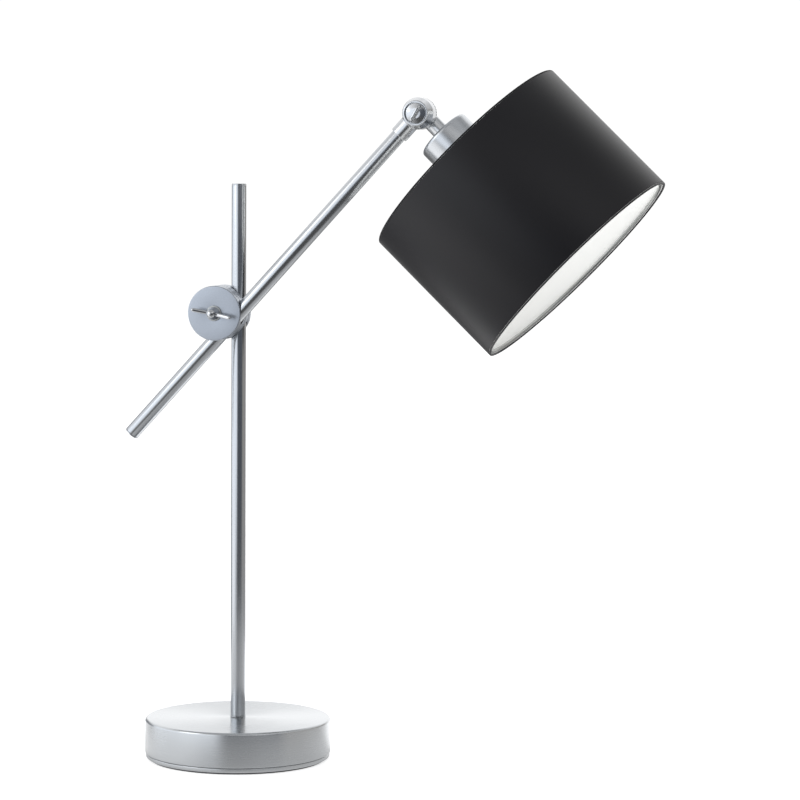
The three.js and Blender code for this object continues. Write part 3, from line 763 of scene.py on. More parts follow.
# Each shell's body, its back and front face in millimetres, and the way its teeth face.
STACK = [
    ("clamp_rear_cap", "clamp_rear", -7.8, -0.2, 0),
    ("clamp_rear_serrated_disc", "clamp_rear", 0.2, 7.8, 1),
    ("clamp_front_serrated_disc", "clamp_front", 8.1, 15.8, -1),
    ("clamp_front_cap", "clamp_front", 16.0, 23.7, 0),
]


def toothed(count, start, depth, face, width):
    """A ripple that cuts teeth into a face: past the start radius the face sinks by depth times
    a wave of count teeth round the axis. Only heights within width of the face move, and
    the sign of depth says which way."""
    def ripple(radius, height, angle):
        wave = 0.5 - 0.5 * np.cos(count * angle)
        out = np.clip((radius - start) / (0.6 * MM), 0, 1)
        near = np.clip(1 - abs(height - face) / width, 0, 1)
        return 0, -depth * wave * out * near
    return ripple


def straight(name, radius, start, end, around=64):
    """A plain round bar between two points, for cutting."""
    start, end = np.array(start), np.array(end)
    length = np.linalg.norm(end - start)
    outline = [(0, 0), (radius, 0), (radius, length), (0, length)]
    return turned(name, outline, start, end - start, around)


satin_disc = turned_metal("satin_disc", CLAMP_AXIS, OUTWARD, DISC_NICKEL, 0.32, 0.5, 1.0)
grips = {"clamp_rear": (POST_GRIP, np.array(UP)), "clamp_front": (ARM_FOOT, ARM_UP)}
for node, body, low, high, toothed_side in STACK:
    low, high = low * MM, high * MM
    face = high if toothed_side > 0 else low
    rings = np.linspace(DISC_TOOTH_START - 0.5 * MM, DISC_RADIUS - DISC_EDGE - 0.1 * MM, 6)
    outline = rounded([
        (DISC_BORE, low, 0.2 * MM),
        *([(r, low, 0) for r in rings] if toothed_side < 0 else []),
        (DISC_RADIUS, low, DISC_EDGE if toothed_side == 0 else 0.25 * MM),
        (DISC_RADIUS, high, DISC_EDGE if toothed_side == 0 else 0.25 * MM),
        *([(r, high, 0) for r in rings[::-1]] if toothed_side > 0 else []),
        (DISC_BORE, high, 0.2 * MM),
    ])
    teeth = toothed(DISC_TEETH, DISC_TOOTH_START, toothed_side * DISC_TOOTH_DEPTH, face, 2 * MM)
    ripple = teeth if toothed_side else None
    shell = turned(node + "_turned", outline, CLAMP_AXIS, OUTWARD, ROUND_DISC, ripple)
    middle, direction = grips[body]
    reach = 1.5 * DISC_RADIUS * direction
    channel = straight(
        node + "_channel", CHANNEL_RADIUS, middle - reach, middle + reach, ROUND_TUBE
    )
    combine(shell, [channel], "DIFFERENCE")
    place(shell, body, [node], "brushed_nickel", satin_disc)


# ---------------------------------------------------------------- Clamp stud and washers
# A turned steel stud runs through the stack from a low round head at the back to the wing nut in
# front. A plain pressed washer lies under its head and one under the wing nut.
STUD_RADIUS = 3.0 * MM
STUD_HEAD = 6.5 * MM
STUD_BACK = -13.0 * MM
STUD_SEAT = -9.4 * MM
STUD_TIP = 31.6 * MM
STUD_POINT = 0.6 * MM
WASHER_RADIUS = 6.4 * MM

stud = turned(
    "clamp_turned_stud",
    [
        *rounded([
            (0, STUD_BACK, 0),
            (STUD_HEAD, STUD_BACK, 1.4 * MM),
            (STUD_HEAD, STUD_SEAT, 0.2 * MM),
            (STUD_RADIUS, STUD_SEAT, 0),
        ]).tolist(),
        (STUD_RADIUS, STUD_TIP - STUD_POINT),
        (STUD_RADIUS - STUD_POINT, STUD_TIP),
        (0, STUD_TIP),
    ],
    CLAMP_AXIS,
    OUTWARD,
    64,
)
place(stud, "clamp_rear", ["clamp_stud"], "zinc_steel", zinc)
washers = [
    ("clamp_rear_washer", "clamp_rear", -9.1 * MM, -8.1 * MM),
    ("clamp_front_washer", "clamp_front", 24.0 * MM, 25.0 * MM),
]
for node, body, low, high in washers:
    washer = pipe(
        node + "_pressed", WASHER_RADIUS, DISC_BORE, low, high, 0.25 * MM, CLAMP_AXIS, OUTWARD, 96
    )
    place(washer, body, [node], "zinc_steel", zinc)


# ---------------------------------------------------------------- Wing nut
# A wing nut cast in one piece: a tapered hub with a domed, polished end, and two flat wings with
# round tips that lean a little off level. It turns on the stud.
WING_TURN = math.radians(-11.0)
WING_SEAT = 25.3 * MM
WING_HUB = 5.6 * MM
WING_HUB_TOP = 3.9 * MM
WING_HUB_HEIGHT = 6.4 * MM
WING_REACH = 17.7 * MM
WING_RISE = 7.5 * MM
WING_THICK = 3.4 * MM
WING_DEEP = 4.2 * MM
WING_START = 2.0 * MM
WING_ROOT = 3.4 * MM
WING_ROOT_DEEP = 4.8 * MM
WING_CURVE = 1.4
WING_ROUNDS = 4
CAST_GRAIN = 0.22 * MM
CAST_NICKEL = tone(214, 216, 219)


def blade(name, middles, deep, thick, thin_way, deep_way, squareness=2.6):
    """A flat, rounded blade: superellipse sections at the middles, each deep along one way and
    thick along the other. The size falls to nothing at both ends as a quarter circle does."""
    middles = np.array(middles, float)
    steps = np.r_[0, np.cumsum(np.linalg.norm(np.diff(middles, axis=0), axis=1))]
    from_end = np.clip(np.minimum(steps, steps[-1] - steps) / thick, 0, 1)
    close = np.sqrt(np.clip(1 - (1 - from_end) ** 2, 0, 1))
    angle = np.linspace(0, 2 * np.pi, 40, endpoint=False)
    cos, sin = np.cos(angle), np.sin(angle)
    wide = np.sign(cos) * abs(cos) ** (2 / squareness)
    tall = np.sign(sin) * abs(sin) ** (2 / squareness)
    half_deep = np.broadcast_to(deep, len(middles)) / 2 - (1 - close) * thick / 2
    points = (
        middles[:, None]
        + (close * thick / 2)[:, None, None] * wide[None, :, None] * np.array(thin_way)
        + (half_deep * (close > 0))[:, None, None] * tall[None, :, None] * np.array(deep_way)
    )
    points[0], points[-1] = middles[0], middles[-1]
    return grid_piece(name, points, False)


def fused(piece, others, grain, rounds):
    """The pieces run together as one casting: rebuilt as a skin of small even faces, then eased
    so that the corners between them fill like fillets."""
    work = bmesh.new()
    for part in (piece, *others):
        work.from_mesh(part.data)
    work.to_mesh(piece.data)
    work.free()
    for other in others:
        bpy.data.objects.remove(other)
    skin = piece.modifiers.new("skin", "REMESH")
    skin.mode = "VOXEL"
    skin.voxel_size = grain
    ease = piece.modifiers.new("ease", "SMOOTH")
    ease.factor = 0.5
    ease.iterations = rounds
    settle(piece)


def cast_metal(name, colour, roughness):
    """Plated and tumbled casting: a fine even grain and a slow, faint waviness of the skin."""
    finish = Finish(name)
    spot = finish.here()
    grain = finish.noise(spot, 1300.0, 3.0, 0.6)
    return plate(finish, grain, spot, colour, roughness, 0.5, 0.25)


polished_cast = cast_metal("polished_cast", CAST_NICKEL, 0.15)
wing_side = np.array([math.cos(WING_TURN), 0, math.sin(WING_TURN)])
wing_up = np.cross(OUTWARD, wing_side)
hub_top = WING_SEAT + WING_HUB_HEIGHT
dome_turn = np.linspace(0, np.pi / 2, 10)
dome = [(WING_HUB_TOP * math.cos(t), hub_top + WING_HUB_TOP * math.sin(t)) for t in dome_turn[:-1]]
hub = turned(
    "wing_nut_cast",
    [
        *rounded([
            (0, WING_SEAT, 0),
            (WING_HUB, WING_SEAT, 0.4 * MM),
            (WING_HUB_TOP, hub_top, 0),
        ])[:-1].tolist(),
        *dome,
        (0, hub_top + WING_HUB_TOP),
    ],
    CLAMP_AXIS,
    OUTWARD,
    96,
)
wings = []
for sign in (1, -1):
    share = np.linspace(0, 1, 26)[:, None]
    out = WING_START + (WING_REACH - WING_START) * share
    height = WING_SEAT + WING_ROOT + (WING_RISE - WING_ROOT) * share**WING_CURVE
    middles = CLAMP_AXIS + out * sign * wing_side + height * OUTWARD
    deep = (WING_ROOT_DEEP + (WING_DEEP - WING_ROOT_DEEP) * share)[:, 0]
    wings.append(blade(f"wing_{sign}", middles, deep, WING_THICK, wing_up, OUTWARD))
fused(hub, wings, CAST_GRAIN, WING_ROUNDS)
stud_bore = straight(
    "stud_bore", DISC_BORE,
    CLAMP_AXIS + (WING_SEAT - 1 * MM) * OUTWARD,
    CLAMP_AXIS + (STUD_TIP + 0.3 * MM) * OUTWARD,
)
combine(hub, [stud_bore], "DIFFERENCE")
place(hub, "wing_nut", ["wing_nut"], "satin_nickel", polished_cast)


# ---------------------------------------------------------------- Arm
# The same tube as the post's, held off its middle in the clamp's front pair, with a pressed cap in
# its lower end. Its upper end goes into the knuckle's sleeve.
ARM_BELOW = -126.9 * MM
ARM_LOW = -125.6 * MM
ARM_HIGH = 229.2 * MM

satin_arm = drawn_metal("satin_arm", ARM_FOOT, ARM_UP, SATIN_NICKEL, TUBE_SHINE, 0.6)
arm = pipe(
    "arm_drawn_tube", TUBE_RADIUS, TUBE_BORE, ARM_LOW, ARM_HIGH, TUBE_END, ARM_FOOT, ARM_UP,
    ROUND_TUBE,
)
place(arm, "arm", ["arm_tube"], "satin_nickel", satin_arm)
arm_lid = end_cap("arm_pressed_cap", ARM_FOOT + ARM_BELOW * ARM_UP, -ARM_UP)
place(arm_lid, "arm", ["arm_end_cap"], "satin_nickel", satin_arm)


# ---------------------------------------------------------------- Knuckle, arm's half
# A cast barrel with a sleeve that takes the arm's end. Its face is recessed for the thumb screw's
# head, and a ring of fine teeth faces the other half.
KNUCKLE_REACH = 239.2 * MM
PIVOT = ARM_FOOT - (0, ARM_PLANE, 0) + KNUCKLE_REACH * ARM_UP
KNUCKLE_RADIUS = 13.2 * MM
KNUCKLE_NOSE = 10.4 * MM
SHOULDER = 8.1 * MM
FRONT_FACE = 27.4 * MM
FRONT_JOINT = 7.9 * MM
BARREL_BACK = 0.8 * MM
TOOTH_RING = 1.4 * MM
KNUCKLE_TEETH = 36
KNUCKLE_TOOTH_DEPTH = 0.9 * MM
KNUCKLE_TOOTH_START = 9.5 * MM
SLEEVE_RADIUS = 7.7 * MM
SLEEVE_LENGTH = 24.0 * MM
SLEEVE_STOP = 9.7 * MM
SLEEVE_BORE = 6.4 * MM
RECESS_RADIUS = 9.3 * MM
RECESS_DEPTH = 2.6 * MM
SCREW_HOLE = 2.8 * MM
KNUCKLE_GRAIN = 0.26 * MM


def tooth_ring(name, face, direction):
    """A knuckle half's ring of teeth, from its face back into the casting."""
    root = face - direction * TOOTH_RING
    rings = np.linspace(KNUCKLE_TOOTH_START, KNUCKLE_RADIUS - 0.2 * MM, 6)
    outline = [(0, face), *[(r, face) for r in rings]]
    outline += [(KNUCKLE_RADIUS, face), (KNUCKLE_RADIUS, root), (0, root)]
    depth = direction * KNUCKLE_TOOTH_DEPTH
    teeth = toothed(KNUCKLE_TEETH, KNUCKLE_TOOTH_START, depth, face, 1 * MM)
    return turned(name, outline, PIVOT, OUTWARD, KNUCKLE_TEETH * 8, teeth)


satin_cast = cast_metal("satin_cast", CAST_NICKEL, 0.2)
barrel_low = FRONT_JOINT + BARREL_BACK
knuckle_front = turned(
    "knuckle_front_cast",
    rounded([
        (0, barrel_low, 0),
        (KNUCKLE_RADIUS, barrel_low, 0.3 * MM),
        (KNUCKLE_RADIUS, FRONT_FACE - SHOULDER, 3.0 * MM),
        (KNUCKLE_NOSE, FRONT_FACE, 0.7 * MM),
        (0, FRONT_FACE, 0),
    ], 12),
    PIVOT,
    OUTWARD,
    160,
)
arm_line = PIVOT + (0, ARM_PLANE, 0)
arm_sleeve = turned(
    "arm_sleeve",
    rounded([
        (0, 0, 0),
        (SLEEVE_RADIUS, 0, 0),
        (SLEEVE_RADIUS, SLEEVE_LENGTH, 0.5 * MM),
        (0, SLEEVE_LENGTH, 0),
    ]),
    arm_line,
    -ARM_UP,
    128,
)
fused(knuckle_front, [arm_sleeve], KNUCKLE_GRAIN, 5)
combine(knuckle_front, [tooth_ring("front_teeth", FRONT_JOINT, -1)], "UNION")
combine(knuckle_front, [
    straight(
        "arm_socket", SLEEVE_BORE, arm_line - SLEEVE_STOP * ARM_UP,
        arm_line - 1.2 * SLEEVE_LENGTH * ARM_UP, ROUND_TUBE,
    ),
    straight(
        "screw_recess", RECESS_RADIUS, PIVOT + (FRONT_FACE - RECESS_DEPTH) * OUTWARD,
        PIVOT + 1.2 * FRONT_FACE * OUTWARD, ROUND_TUBE,
    ),
    straight("screw_hole", SCREW_HOLE, PIVOT, PIVOT + FRONT_FACE * OUTWARD, 48),
], "DIFFERENCE")
place(knuckle_front, "arm", ["knuckle_front_half"], "satin_nickel", satin_cast)


# ---------------------------------------------------------------- Thumb screw
# A screw with a round, flat head and a finger blade across it, polished bright. Its shank runs
# through both halves of the knuckle into the acorn nut.
SCREW_RADIUS = 2.5 * MM
SCREW_HEAD = 8.6 * MM
SCREW_SEAT = FRONT_FACE - RECESS_DEPTH + 0.3 * MM
SCREW_TIP = -11.1 * MM
BLADE_TURN = math.radians(60.0)
BLADE_THICK = 3.0 * MM
BLADE_PROUD = 4.0 * MM
BLADE_FALL = 0.62
BLADE_CURVE = 2.6
BLADE_INSET = 0.5 * MM

screw = turned(
    "thumb_screw_cast",
    rounded([
        (0, SCREW_TIP, 0),
        (SCREW_RADIUS, SCREW_TIP, 0.5 * MM),
        (SCREW_RADIUS, SCREW_SEAT, 0),
        (SCREW_HEAD, SCREW_SEAT, 0.3 * MM),
        (SCREW_HEAD, FRONT_FACE - 1.2 * MM, 0.5 * MM),
        (SCREW_HEAD / 2, FRONT_FACE - 0.2 * MM, 6.0 * MM),
        (0, FRONT_FACE, 0),
    ]),
    PIVOT,
    OUTWARD,
    96,
)
blade_side = np.array([math.cos(BLADE_TURN), 0, math.sin(BLADE_TURN)])
share = np.linspace(-1, 1, 31)[:, None]
blade_low = SCREW_SEAT + 0.8 * MM
blade_top = FRONT_FACE + BLADE_PROUD * np.sqrt(1 - BLADE_FALL * abs(share) ** BLADE_CURVE)
blade_middles = (
    PIVOT + share * (SCREW_HEAD - BLADE_INSET) * blade_side + (blade_low + blade_top) / 2 * OUTWARD
)
grip = blade(
    "finger_blade", blade_middles, (blade_top - blade_low)[:, 0], BLADE_THICK,
    np.cross(OUTWARD, blade_side), OUTWARD, 3.2,
)
fused(screw, [grip], CAST_GRAIN, 8)
place(screw, "thumb_screw", ["thumb_screw"], "satin_nickel", polished_cast)


# ---------------------------------------------------------------- Knuckle, shade's half
# The other cast barrel, with teeth to match and a thick stem that carries the lampholder's cup. A
# zinc plated acorn nut closes its back.
SHADE_FALL = math.radians(44.1)
SHADE_OUT = np.array([math.cos(SHADE_FALL), 0, -math.sin(SHADE_FALL)])
HEAD_PLANE = 0.4 * MM
HEAD = PIVOT + (0, HEAD_PLANE, 0)
REAR_JOINT = 7.6 * MM
REAR_FACE = -8.4 * MM
REAR_RIM = 1.5 * MM
KNUCKLE_TAIL = 9.0 * MM
STEM_RADIUS = 7.0 * MM
STEM_END = 22.4 * MM
SPIGOT_RADIUS = 5.0 * MM
SPIGOT_END = 37.0 * MM
WIRE_WAY = 2.5 * MM
WIRE_WAY_START = 4.8 * MM
ACORN_RADIUS = 4.6 * MM
ACORN_HEIGHT = 5.0 * MM


def head_turned(name, outline, around, ripple=None):
    """A piece turned about the shade's axis, with heights measured from the knuckle's pivot."""
    return turned(name, outline, HEAD, SHADE_OUT, around, ripple)


barrel_high = REAR_JOINT - BARREL_BACK
knuckle_rear = turned(
    "knuckle_rear_cast",
    rounded([
        (0, REAR_FACE, 0),
        (KNUCKLE_TAIL, REAR_FACE, 1.5 * MM),
        (KNUCKLE_RADIUS, REAR_JOINT - REAR_RIM, 0.4 * MM),
        (KNUCKLE_RADIUS, barrel_high, 0.1 * MM),
        (0, barrel_high, 0),
    ], 12),
    PIVOT,
    OUTWARD,
    160,
)
stem = head_turned(
    "head_stem",
    rounded([
        (0, 0, 0),
        (STEM_RADIUS, 0, 0),
        (STEM_RADIUS, STEM_END, 0.5 * MM),
        (SPIGOT_RADIUS, STEM_END, 0),
        (SPIGOT_RADIUS, SPIGOT_END, 0.5 * MM),
        (0, SPIGOT_END, 0),
    ]),
    128,
)
fused(knuckle_rear, [stem], KNUCKLE_GRAIN, 5)
combine(knuckle_rear, [tooth_ring("rear_teeth", REAR_JOINT, 1)], "UNION")
combine(knuckle_rear, [
    straight(
        "screw_way", SCREW_HOLE, PIVOT + 1.2 * REAR_FACE * OUTWARD, PIVOT + FRONT_FACE * OUTWARD, 48
    ),
    straight(
        "wire_way", WIRE_WAY, HEAD + WIRE_WAY_START * SHADE_OUT,
        HEAD + 1.1 * SPIGOT_END * SHADE_OUT, 48,
    ),
], "DIFFERENCE")
place(knuckle_rear, "shade_head", ["knuckle_rear_half"], "satin_nickel", satin_cast)

acorn_face = REAR_FACE - 0.3 * MM
acorn_bore = acorn_face - ACORN_HEIGHT / 2 - 0.3 * MM
nut_turn = np.linspace(0, np.pi / 2, 9)
acorn = turned(
    "acorn_nut",
    [
        (0, acorn_bore),
        (SCREW_HOLE, acorn_bore),
        (SCREW_HOLE, acorn_face),
        (ACORN_RADIUS - 0.2 * MM, acorn_face),
        (ACORN_RADIUS, acorn_face - 0.2 * MM),
        *[
            (ACORN_RADIUS * math.cos(t), acorn_face - ACORN_HEIGHT * (0.36 + 0.64 * math.sin(t)))
            for t in nut_turn[:-1]
        ],
        (0, acorn_face - ACORN_HEIGHT),
    ],
    PIVOT,
    OUTWARD,
    96,
)
place(acorn, "shade_head", ["knuckle_acorn_nut"], "zinc_steel", zinc)


# ---------------------------------------------------------------- Cup and lock nut
# A cup spun from steel hides the lampholder's cap. It is held on the stem's spigot by a flat
# hexagonal lock nut inside it.
CUP_TOP = 22.7 * MM
CUP_END = 55.7 * MM
CUP_RADIUS = 23.6 * MM
CUP_WALL = 1.2 * MM
CUP_EDGE = 3.2 * MM
SPIGOT_HOLE = 5.3 * MM

satin_cup = turned_metal("satin_cup", HEAD, SHADE_OUT, SATIN_NICKEL, 0.23, 0.5, 0.1)
cup = head_turned(
    "spun_cup",
    rounded([
        (SPIGOT_HOLE, CUP_TOP, 0.2 * MM),
        (CUP_RADIUS, CUP_TOP, CUP_EDGE),
        (CUP_RADIUS, CUP_END, 0.4 * MM),
        (CUP_RADIUS - CUP_WALL, CUP_END, 0.4 * MM),
        (CUP_RADIUS - CUP_WALL, CUP_TOP + CUP_WALL, CUP_EDGE - CUP_WALL),
        (SPIGOT_HOLE, CUP_TOP + CUP_WALL, 0.2 * MM),
    ], 12),
    192,
)
place(cup, "shade_head", ["holder_cup"], "satin_nickel", satin_cup)
dress(["holder_lock_nut"], zinc)


# ---------------------------------------------------------------- Lampholder
# A screw lampholder: a moulded cap and body in black phenolic, a porcelain core, and a brass
# screw shell and contact. The body is threaded outside for the ring nut that grips the shade.
HOLDER_START = 43.4 * MM
HOLDER_END = 90.0 * MM
HOLDER_RADIUS = 20.0 * MM
HOLDER_BORE = 18.0 * MM
HOLDER_PITCH = 3.2 * MM
HOLDER_THREAD = 0.7 * MM
HOLDER_THREAD_START = 54.0 * MM
RING_NUT_START = 58.3 * MM
RING_NUT_END = 66.3 * MM
RING_NUT_RADIUS = 24.5 * MM
RING_NUT_RIBS = 24
RING_NUT_BORE = 20.3 * MM
RING_NUT_GROOVE = 0.9 * MM


def helix(start, end, pitch, depth, beyond):
    """A ripple that cuts a screw thread between two heights: past one radius the surface sinks
    by depth times a triangle wave of height / pitch less the turn, and the thread fades in
    over one pitch at each end."""
    def ripple(radius, height, angle):
        turn = height / pitch - angle / (2 * np.pi)
        wave = abs(2 * (turn - np.floor(turn)) - 1)
        ends = np.clip((height - start) / pitch, 0, 1) * np.clip((end - height) / pitch, 0, 1)
        return -depth * wave * ends * (radius > beyond), 0
    return ripple


phenolic = moulded("black_phenolic", tone(27, 27, 29), 0.34, 500.0)
holder_rows = np.arange(HOLDER_START + 2 * MM, HOLDER_END - 1 * MM, 0.4 * MM)
holder = head_turned(
    "lampholder_threaded_body",
    [
        (HOLDER_BORE, HOLDER_START), (HOLDER_RADIUS, HOLDER_START),
        *[(HOLDER_RADIUS, h) for h in holder_rows],
        (HOLDER_RADIUS, HOLDER_END - 0.6 * MM), (HOLDER_RADIUS - 0.6 * MM, HOLDER_END),
        (HOLDER_BORE + 0.4 * MM, HOLDER_END), (HOLDER_BORE, HOLDER_END - 0.4 * MM),
    ],
    128,
    helix(
        HOLDER_THREAD_START, HOLDER_END - 1 * MM, HOLDER_PITCH, HOLDER_THREAD,
        HOLDER_RADIUS - 0.1 * MM,
    ),
)
place(holder, "shade_head", ["lampholder_body"], "bakelite", phenolic)
dress(["lampholder_cap"], phenolic)


def ribbed(radius, height, angle):
    """Finger grooves round the ring nut's rim: the outside sinks between rounded ribs."""
    groove = np.clip(np.cos(RING_NUT_RIBS * angle), 0, 1) ** 2
    return -RING_NUT_GROOVE * groove * (radius > RING_NUT_RADIUS - 1 * MM), 0


ring_nut = head_turned(
    "shade_moulded_ring_nut",
    rounded([
        (RING_NUT_BORE, RING_NUT_START, 0.4 * MM),
        (RING_NUT_RADIUS, RING_NUT_START, 0.8 * MM),
        (RING_NUT_RADIUS, RING_NUT_END, 0.8 * MM),
        (RING_NUT_BORE, RING_NUT_END, 0.4 * MM),
    ]),
    RING_NUT_RIBS * 12,
    ribbed,
)
place(ring_nut, "shade_head", ["shade_ring_nut"], "bakelite", phenolic)

glaze = moulded("white_porcelain", tone(226, 224, 216), 0.22, 300.0)
dress(["lampholder_core"], glaze)
BRASS = tone(205, 168, 92)
brass = turned_metal("pressed_brass", HEAD, SHADE_OUT, BRASS, 0.3, 0.6, 0.2)
dress(["screw_shell", "centre_contact"], brass)


# ---------------------------------------------------------------- Bulb
# A household bulb: an aluminium screw cap crimped onto a pear-shaped envelope of opal glass.
BULB_CAP_START = 54.0 * MM
BULB_CAP_END = 78.0 * MM
BULB_CAP_RADIUS = 13.0 * MM
BULB_PITCH = 3.6 * MM
BULB_THREAD = 0.9 * MM
BULB_THREAD_START = 57.0 * MM
BULB_THREAD_END = 74.0 * MM
GLOBE_RADIUS = 30.0 * MM
GLOBE_CENTRE = 134.3 * MM
GLASS_START = 78.3 * MM
GLASS_WALL = 0.8 * MM

aluminium = turned_metal("drawn_aluminium", HEAD, SHADE_OUT, tone(205, 207, 209), 0.3, 0.6, 0.1)
cap_rows = np.arange(BULB_CAP_START + 4.2 * MM, BULB_CAP_END - 0.4 * MM, 0.4 * MM)
bulb_cap = head_turned(
    "bulb_screw_cap",
    [
        (0, BULB_CAP_START), (4.6 * MM, BULB_CAP_START), (5.2 * MM, BULB_CAP_START + 0.5 * MM),
        (11.6 * MM, BULB_CAP_START + 3.4 * MM),
        *[(BULB_CAP_RADIUS, h) for h in cap_rows],
        (BULB_CAP_RADIUS, BULB_CAP_END - 0.3 * MM), (BULB_CAP_RADIUS - 0.3 * MM, BULB_CAP_END),
        (0, BULB_CAP_END),
    ],
    96,
    helix(
        BULB_THREAD_START, BULB_THREAD_END, BULB_PITCH, BULB_THREAD, BULB_CAP_RADIUS - 1 * MM
    ),
)
place(bulb_cap, "shade_head", ["bulb_cap"], "aluminium", aluminium)

# The envelope's outline is a neck, a cubic curve that swells from it, and the globe's arc.
glass_turn = np.linspace(-0.25 * np.pi, 0.5 * np.pi, 40)
globe = np.stack(
    [GLOBE_RADIUS * np.cos(glass_turn), GLOBE_CENTRE + GLOBE_RADIUS * np.sin(glass_turn)], 1
)
neck = np.array([[12.7, 0], [13.4, 5], [14.6, 10]]) * MM + (0, GLASS_START)
share = np.linspace(0, 1, 16)[:, None]
bend = (
    (1 - share) ** 3 * neck[-1]
    + 3 * (1 - share) ** 2 * share * (neck[-1] + (0.9 * MM, 6 * MM))
    + 3 * (1 - share) * share**2 * (globe[0] - (6 * MM, 6 * MM))
    + share**3 * globe[0]
)
outside = np.concatenate([neck[:-1], bend, globe[1:-1]])
inside = (outside - (0, GLOBE_CENTRE)) * (1 - GLASS_WALL / GLOBE_RADIUS) + (0, GLOBE_CENTRE)
inside[:3, 0] = outside[:3, 0] - GLASS_WALL
inside[:3, 1] = outside[:3, 1]
crown = GLOBE_CENTRE + GLOBE_RADIUS
bulb = head_turned(
    "opal_bulb",
    np.concatenate([outside, [[0.01 * MM, crown], [0.01 * MM, crown - GLASS_WALL]], inside[::-1]]),
    96,
)
opal = Finish("opal_glass_skin")
opal_cloud = opal.noise(opal.here(), 40.0, 3.0)
opal.set(
    Base_Color=opal.mix(opal_cloud, tone(238, 236, 230), tone(250, 249, 245)),
    Roughness=opal_cloud * 0.1 + 0.08,
    Coat_Weight=0.5,
)
place(bulb, "shade_head", ["bulb_glass"], "opal_glass", opal)


# ---------------------------------------------------------------- Shade
# A drum of stiff laminate: a black satin outside and a white lining, bent round and lapped at the
# back, with a narrow black tape rolled over both edges.
SHADE_RADIUS = 100.0 * MM
SKIN_START = 52.8 * MM
SKIN_END = 180.6 * MM
SKIN_WALL = 0.6 * MM
LINING_OUTER = 99.1 * MM
LINING_INNER = 98.3 * MM
SHADE_START = 51.4 * MM
SHADE_END = 182.0 * MM
TRIM_HEIGHT = 1.1 * MM
TRIM_WIDTH = 2.2 * MM
ROUND_SHADE = 360
LAP_PLACE = 1.75 * math.pi
LAP_WIDTH = 0.11
LAP_PROUD = 0.35 * MM
SHADE_SIDE, SHADE_UP = square_to(SHADE_OUT)
BLACK = tone(16, 16, 19)
BLACK_LIGHT = tone(26, 25, 29)


def lapped(radius, height, angle):
    """The lap seam: past one line the skin stands a little proud, and eases back."""
    past = (angle - LAP_PLACE) / LAP_WIDTH
    on = (past >= 0) * np.clip(1 - past, 0, 1)
    return LAP_PROUD * on, 0


def laminate(name, dark, light, roughness, thread):
    """Stiff laminate: fine threads along and round the drum, a slow change of tone, and a satin
    sheen that the threads break up."""
    finish = Finish(name)
    _, height, local = round_coordinates(finish, HEAD, SHADE_OUT)
    sideways = finish.vector("DOT_PRODUCT", local, tuple(SHADE_SIDE), output="Value")
    risen = finish.vector("DOT_PRODUCT", local, tuple(SHADE_UP), output="Value")
    angle = risen.math("ARCTAN2", sideways)
    warp_spot = finish.node("CombineXYZ", {}, {0: angle * 100.0, 1: height * 60.0, 2: 0.0})
    weft_spot = finish.node("CombineXYZ", {}, {0: angle * 6.0, 1: height * 1100.0, 2: 4.0})
    warp = finish.noise(warp_spot, thread, 3.0, 0.6)
    weft = finish.noise(weft_spot, thread, 3.0, 0.6)
    slow = finish.noise(local, 14.0, 3.0, 0.5)
    cloth = warp * 0.5 + weft * 0.5
    finish.set(
        Base_Color=finish.mix(cloth * 0.8 + slow * 0.3, dark, light),
        Roughness=roughness + (cloth - 0.5) * 0.12 + (slow - 0.5) * 0.06,
        Normal=finish.bump(cloth, 0.25, 0.08 * MM),
    )
    return finish


black_laminate = laminate("black_satin_laminate", BLACK, BLACK_LIGHT, 0.4, 1.0)
black_laminate.set(Specular_IOR_Level=0.32)
WHITE = tone(240, 240, 238)
WHITE_LIGHT = tone(250, 250, 248)
lining_laminate_painted_glow = laminate("white_lining_with_painted_glow", WHITE, WHITE_LIGHT, 0.6, 0.8)
# The lining glows faintly: painted light that stands in for the light filling the inside of the
# shade.
lining_laminate_painted_glow.set(Emission_Color=(1.0, 1.0, 1.0, 1.0), Emission_Strength=0.14)
skin = head_turned(
    "shade_satin_skin",
    rounded([
        (SHADE_RADIUS - SKIN_WALL, SKIN_START, 0.15 * MM),
        (SHADE_RADIUS, SKIN_START, 0.15 * MM),
        (SHADE_RADIUS, SKIN_END, 0.15 * MM),
        (SHADE_RADIUS - SKIN_WALL, SKIN_END, 0.15 * MM),
    ], 3),
    ROUND_SHADE,
    lapped,
)
place(skin, "shade_head", ["shade_skin"], "black_textile", black_laminate)
lining = pipe(
    "shade_white_lining", LINING_OUTER, LINING_INNER, SKIN_START, SKIN_END, 0.2 * MM,
    HEAD, SHADE_OUT, ROUND_SHADE,
)
place(lining, "shade_head", ["shade_lining"], "white_lining", lining_laminate_painted_glow)
trims = [
    ("shade_top_trim", SHADE_START, SHADE_START + TRIM_HEIGHT),
    ("shade_bottom_trim", SHADE_END - TRIM_HEIGHT, SHADE_END),
]
for node, low, high in trims:
    trim = pipe(
        node + "_tape", SHADE_RADIUS, SHADE_RADIUS - TRIM_WIDTH, low, high, 0.5 * MM,
        HEAD, SHADE_OUT, ROUND_SHADE,
    )
    place(trim, "shade_head", [node], "black_textile", black_laminate)


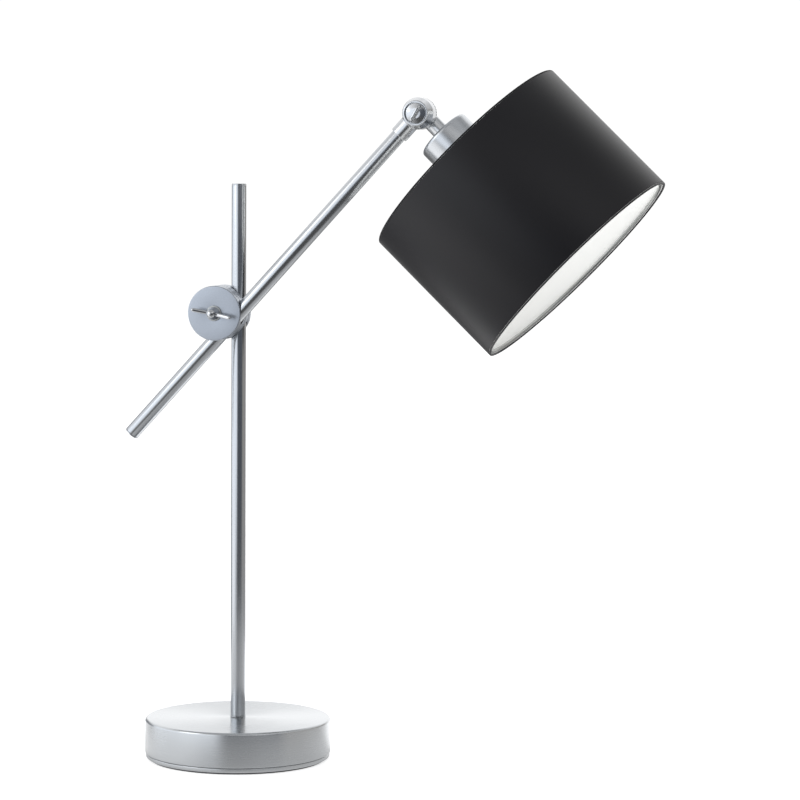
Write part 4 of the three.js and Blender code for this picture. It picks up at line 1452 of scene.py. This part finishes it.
# ---------------------------------------------------------------- Wires and spider
# Two rings of zinc plated wire stiffen the drum's edges. Three flat bars from the upper ring are
# welded to the fitter ring that the lampholder's ring nut clamps.
WIRE_CENTRE = 96.6 * MM
WIRE_RADIUS = 1.4 * MM
WIRE_STATIONS = [("shade_top_wire", 54.2 * MM), ("shade_bottom_wire", 179.2 * MM)]
FITTER_START = 56.0 * MM
FITTER_END = 58.0 * MM
FITTER_RADIUS = 27.0 * MM
BAR_THICK = 2.0 * MM
BAR_WIDE = 3.6 * MM
BAR_START = 23.6 * MM
BAR_END = 94.9 * MM
WELD_RADIUS = 1.5 * MM
WELD_HALF = 2.1 * MM
SHADE_ACROSS = np.array([math.sin(SHADE_FALL), 0, math.cos(SHADE_FALL)])
SPIDER_ARMS = 3

section = np.linspace(0, 2 * np.pi, 20, endpoint=False)
for node, station in WIRE_STATIONS:
    outline = WIRE_RADIUS * np.stack([np.cos(section), np.sin(section)], 1) + (WIRE_CENTRE, station)
    wire = turned(node + "_drawn", outline, HEAD, SHADE_OUT, ROUND_SHADE)
    place(wire, "shade_head", [node], "zinc_steel", zinc)

fitter = head_turned(
    "shade_welded_spider",
    rounded([
        (RING_NUT_BORE, FITTER_START, 0.3 * MM),
        (FITTER_RADIUS, FITTER_START, 0.3 * MM),
        (FITTER_RADIUS, FITTER_END, 0.3 * MM),
        (RING_NUT_BORE, FITTER_END, 0.3 * MM),
    ]),
    160,
)
fitter_middle = (FITTER_START + FITTER_END) / 2
wire_level = WIRE_STATIONS[0][1]
weld_turn = np.linspace(0, np.pi, 14)
weld_outline = np.stack([WELD_RADIUS * np.sin(weld_turn), -WELD_HALF * np.cos(weld_turn)], 1)
bars = []
for i in range(SPIDER_ARMS):
    bar_turn = 2 * math.pi * i / SPIDER_ARMS
    outwards = math.cos(bar_turn) * np.array([0, 1, 0]) + math.sin(bar_turn) * SHADE_ACROSS
    sideways = np.cross(SHADE_OUT, outwards)
    reach = np.concatenate([
        np.linspace(BAR_START, FITTER_RADIUS, 4), np.linspace(FITTER_RADIUS + 1 * MM, BAR_END, 30)
    ])
    climb = np.clip((reach - FITTER_RADIUS) / (BAR_END - FITTER_RADIUS), 0, 1)
    level = fitter_middle + (wire_level - fitter_middle) * climb
    bar_middles = HEAD + level[:, None] * SHADE_OUT + reach[:, None] * outwards
    bars.append(blade(f"bar_{i}", bar_middles, BAR_WIDE, BAR_THICK, SHADE_OUT, sideways, 6.0))
    weld_middle = HEAD + wire_level * SHADE_OUT + (BAR_END - 0.4 * MM) * outwards
    bars.append(turned(f"weld_{i}", weld_outline, weld_middle, sideways, 24))
combine(fitter, bars, "UNION")
place(fitter, "shade_head", ["shade_spider"], "zinc_steel", zinc)
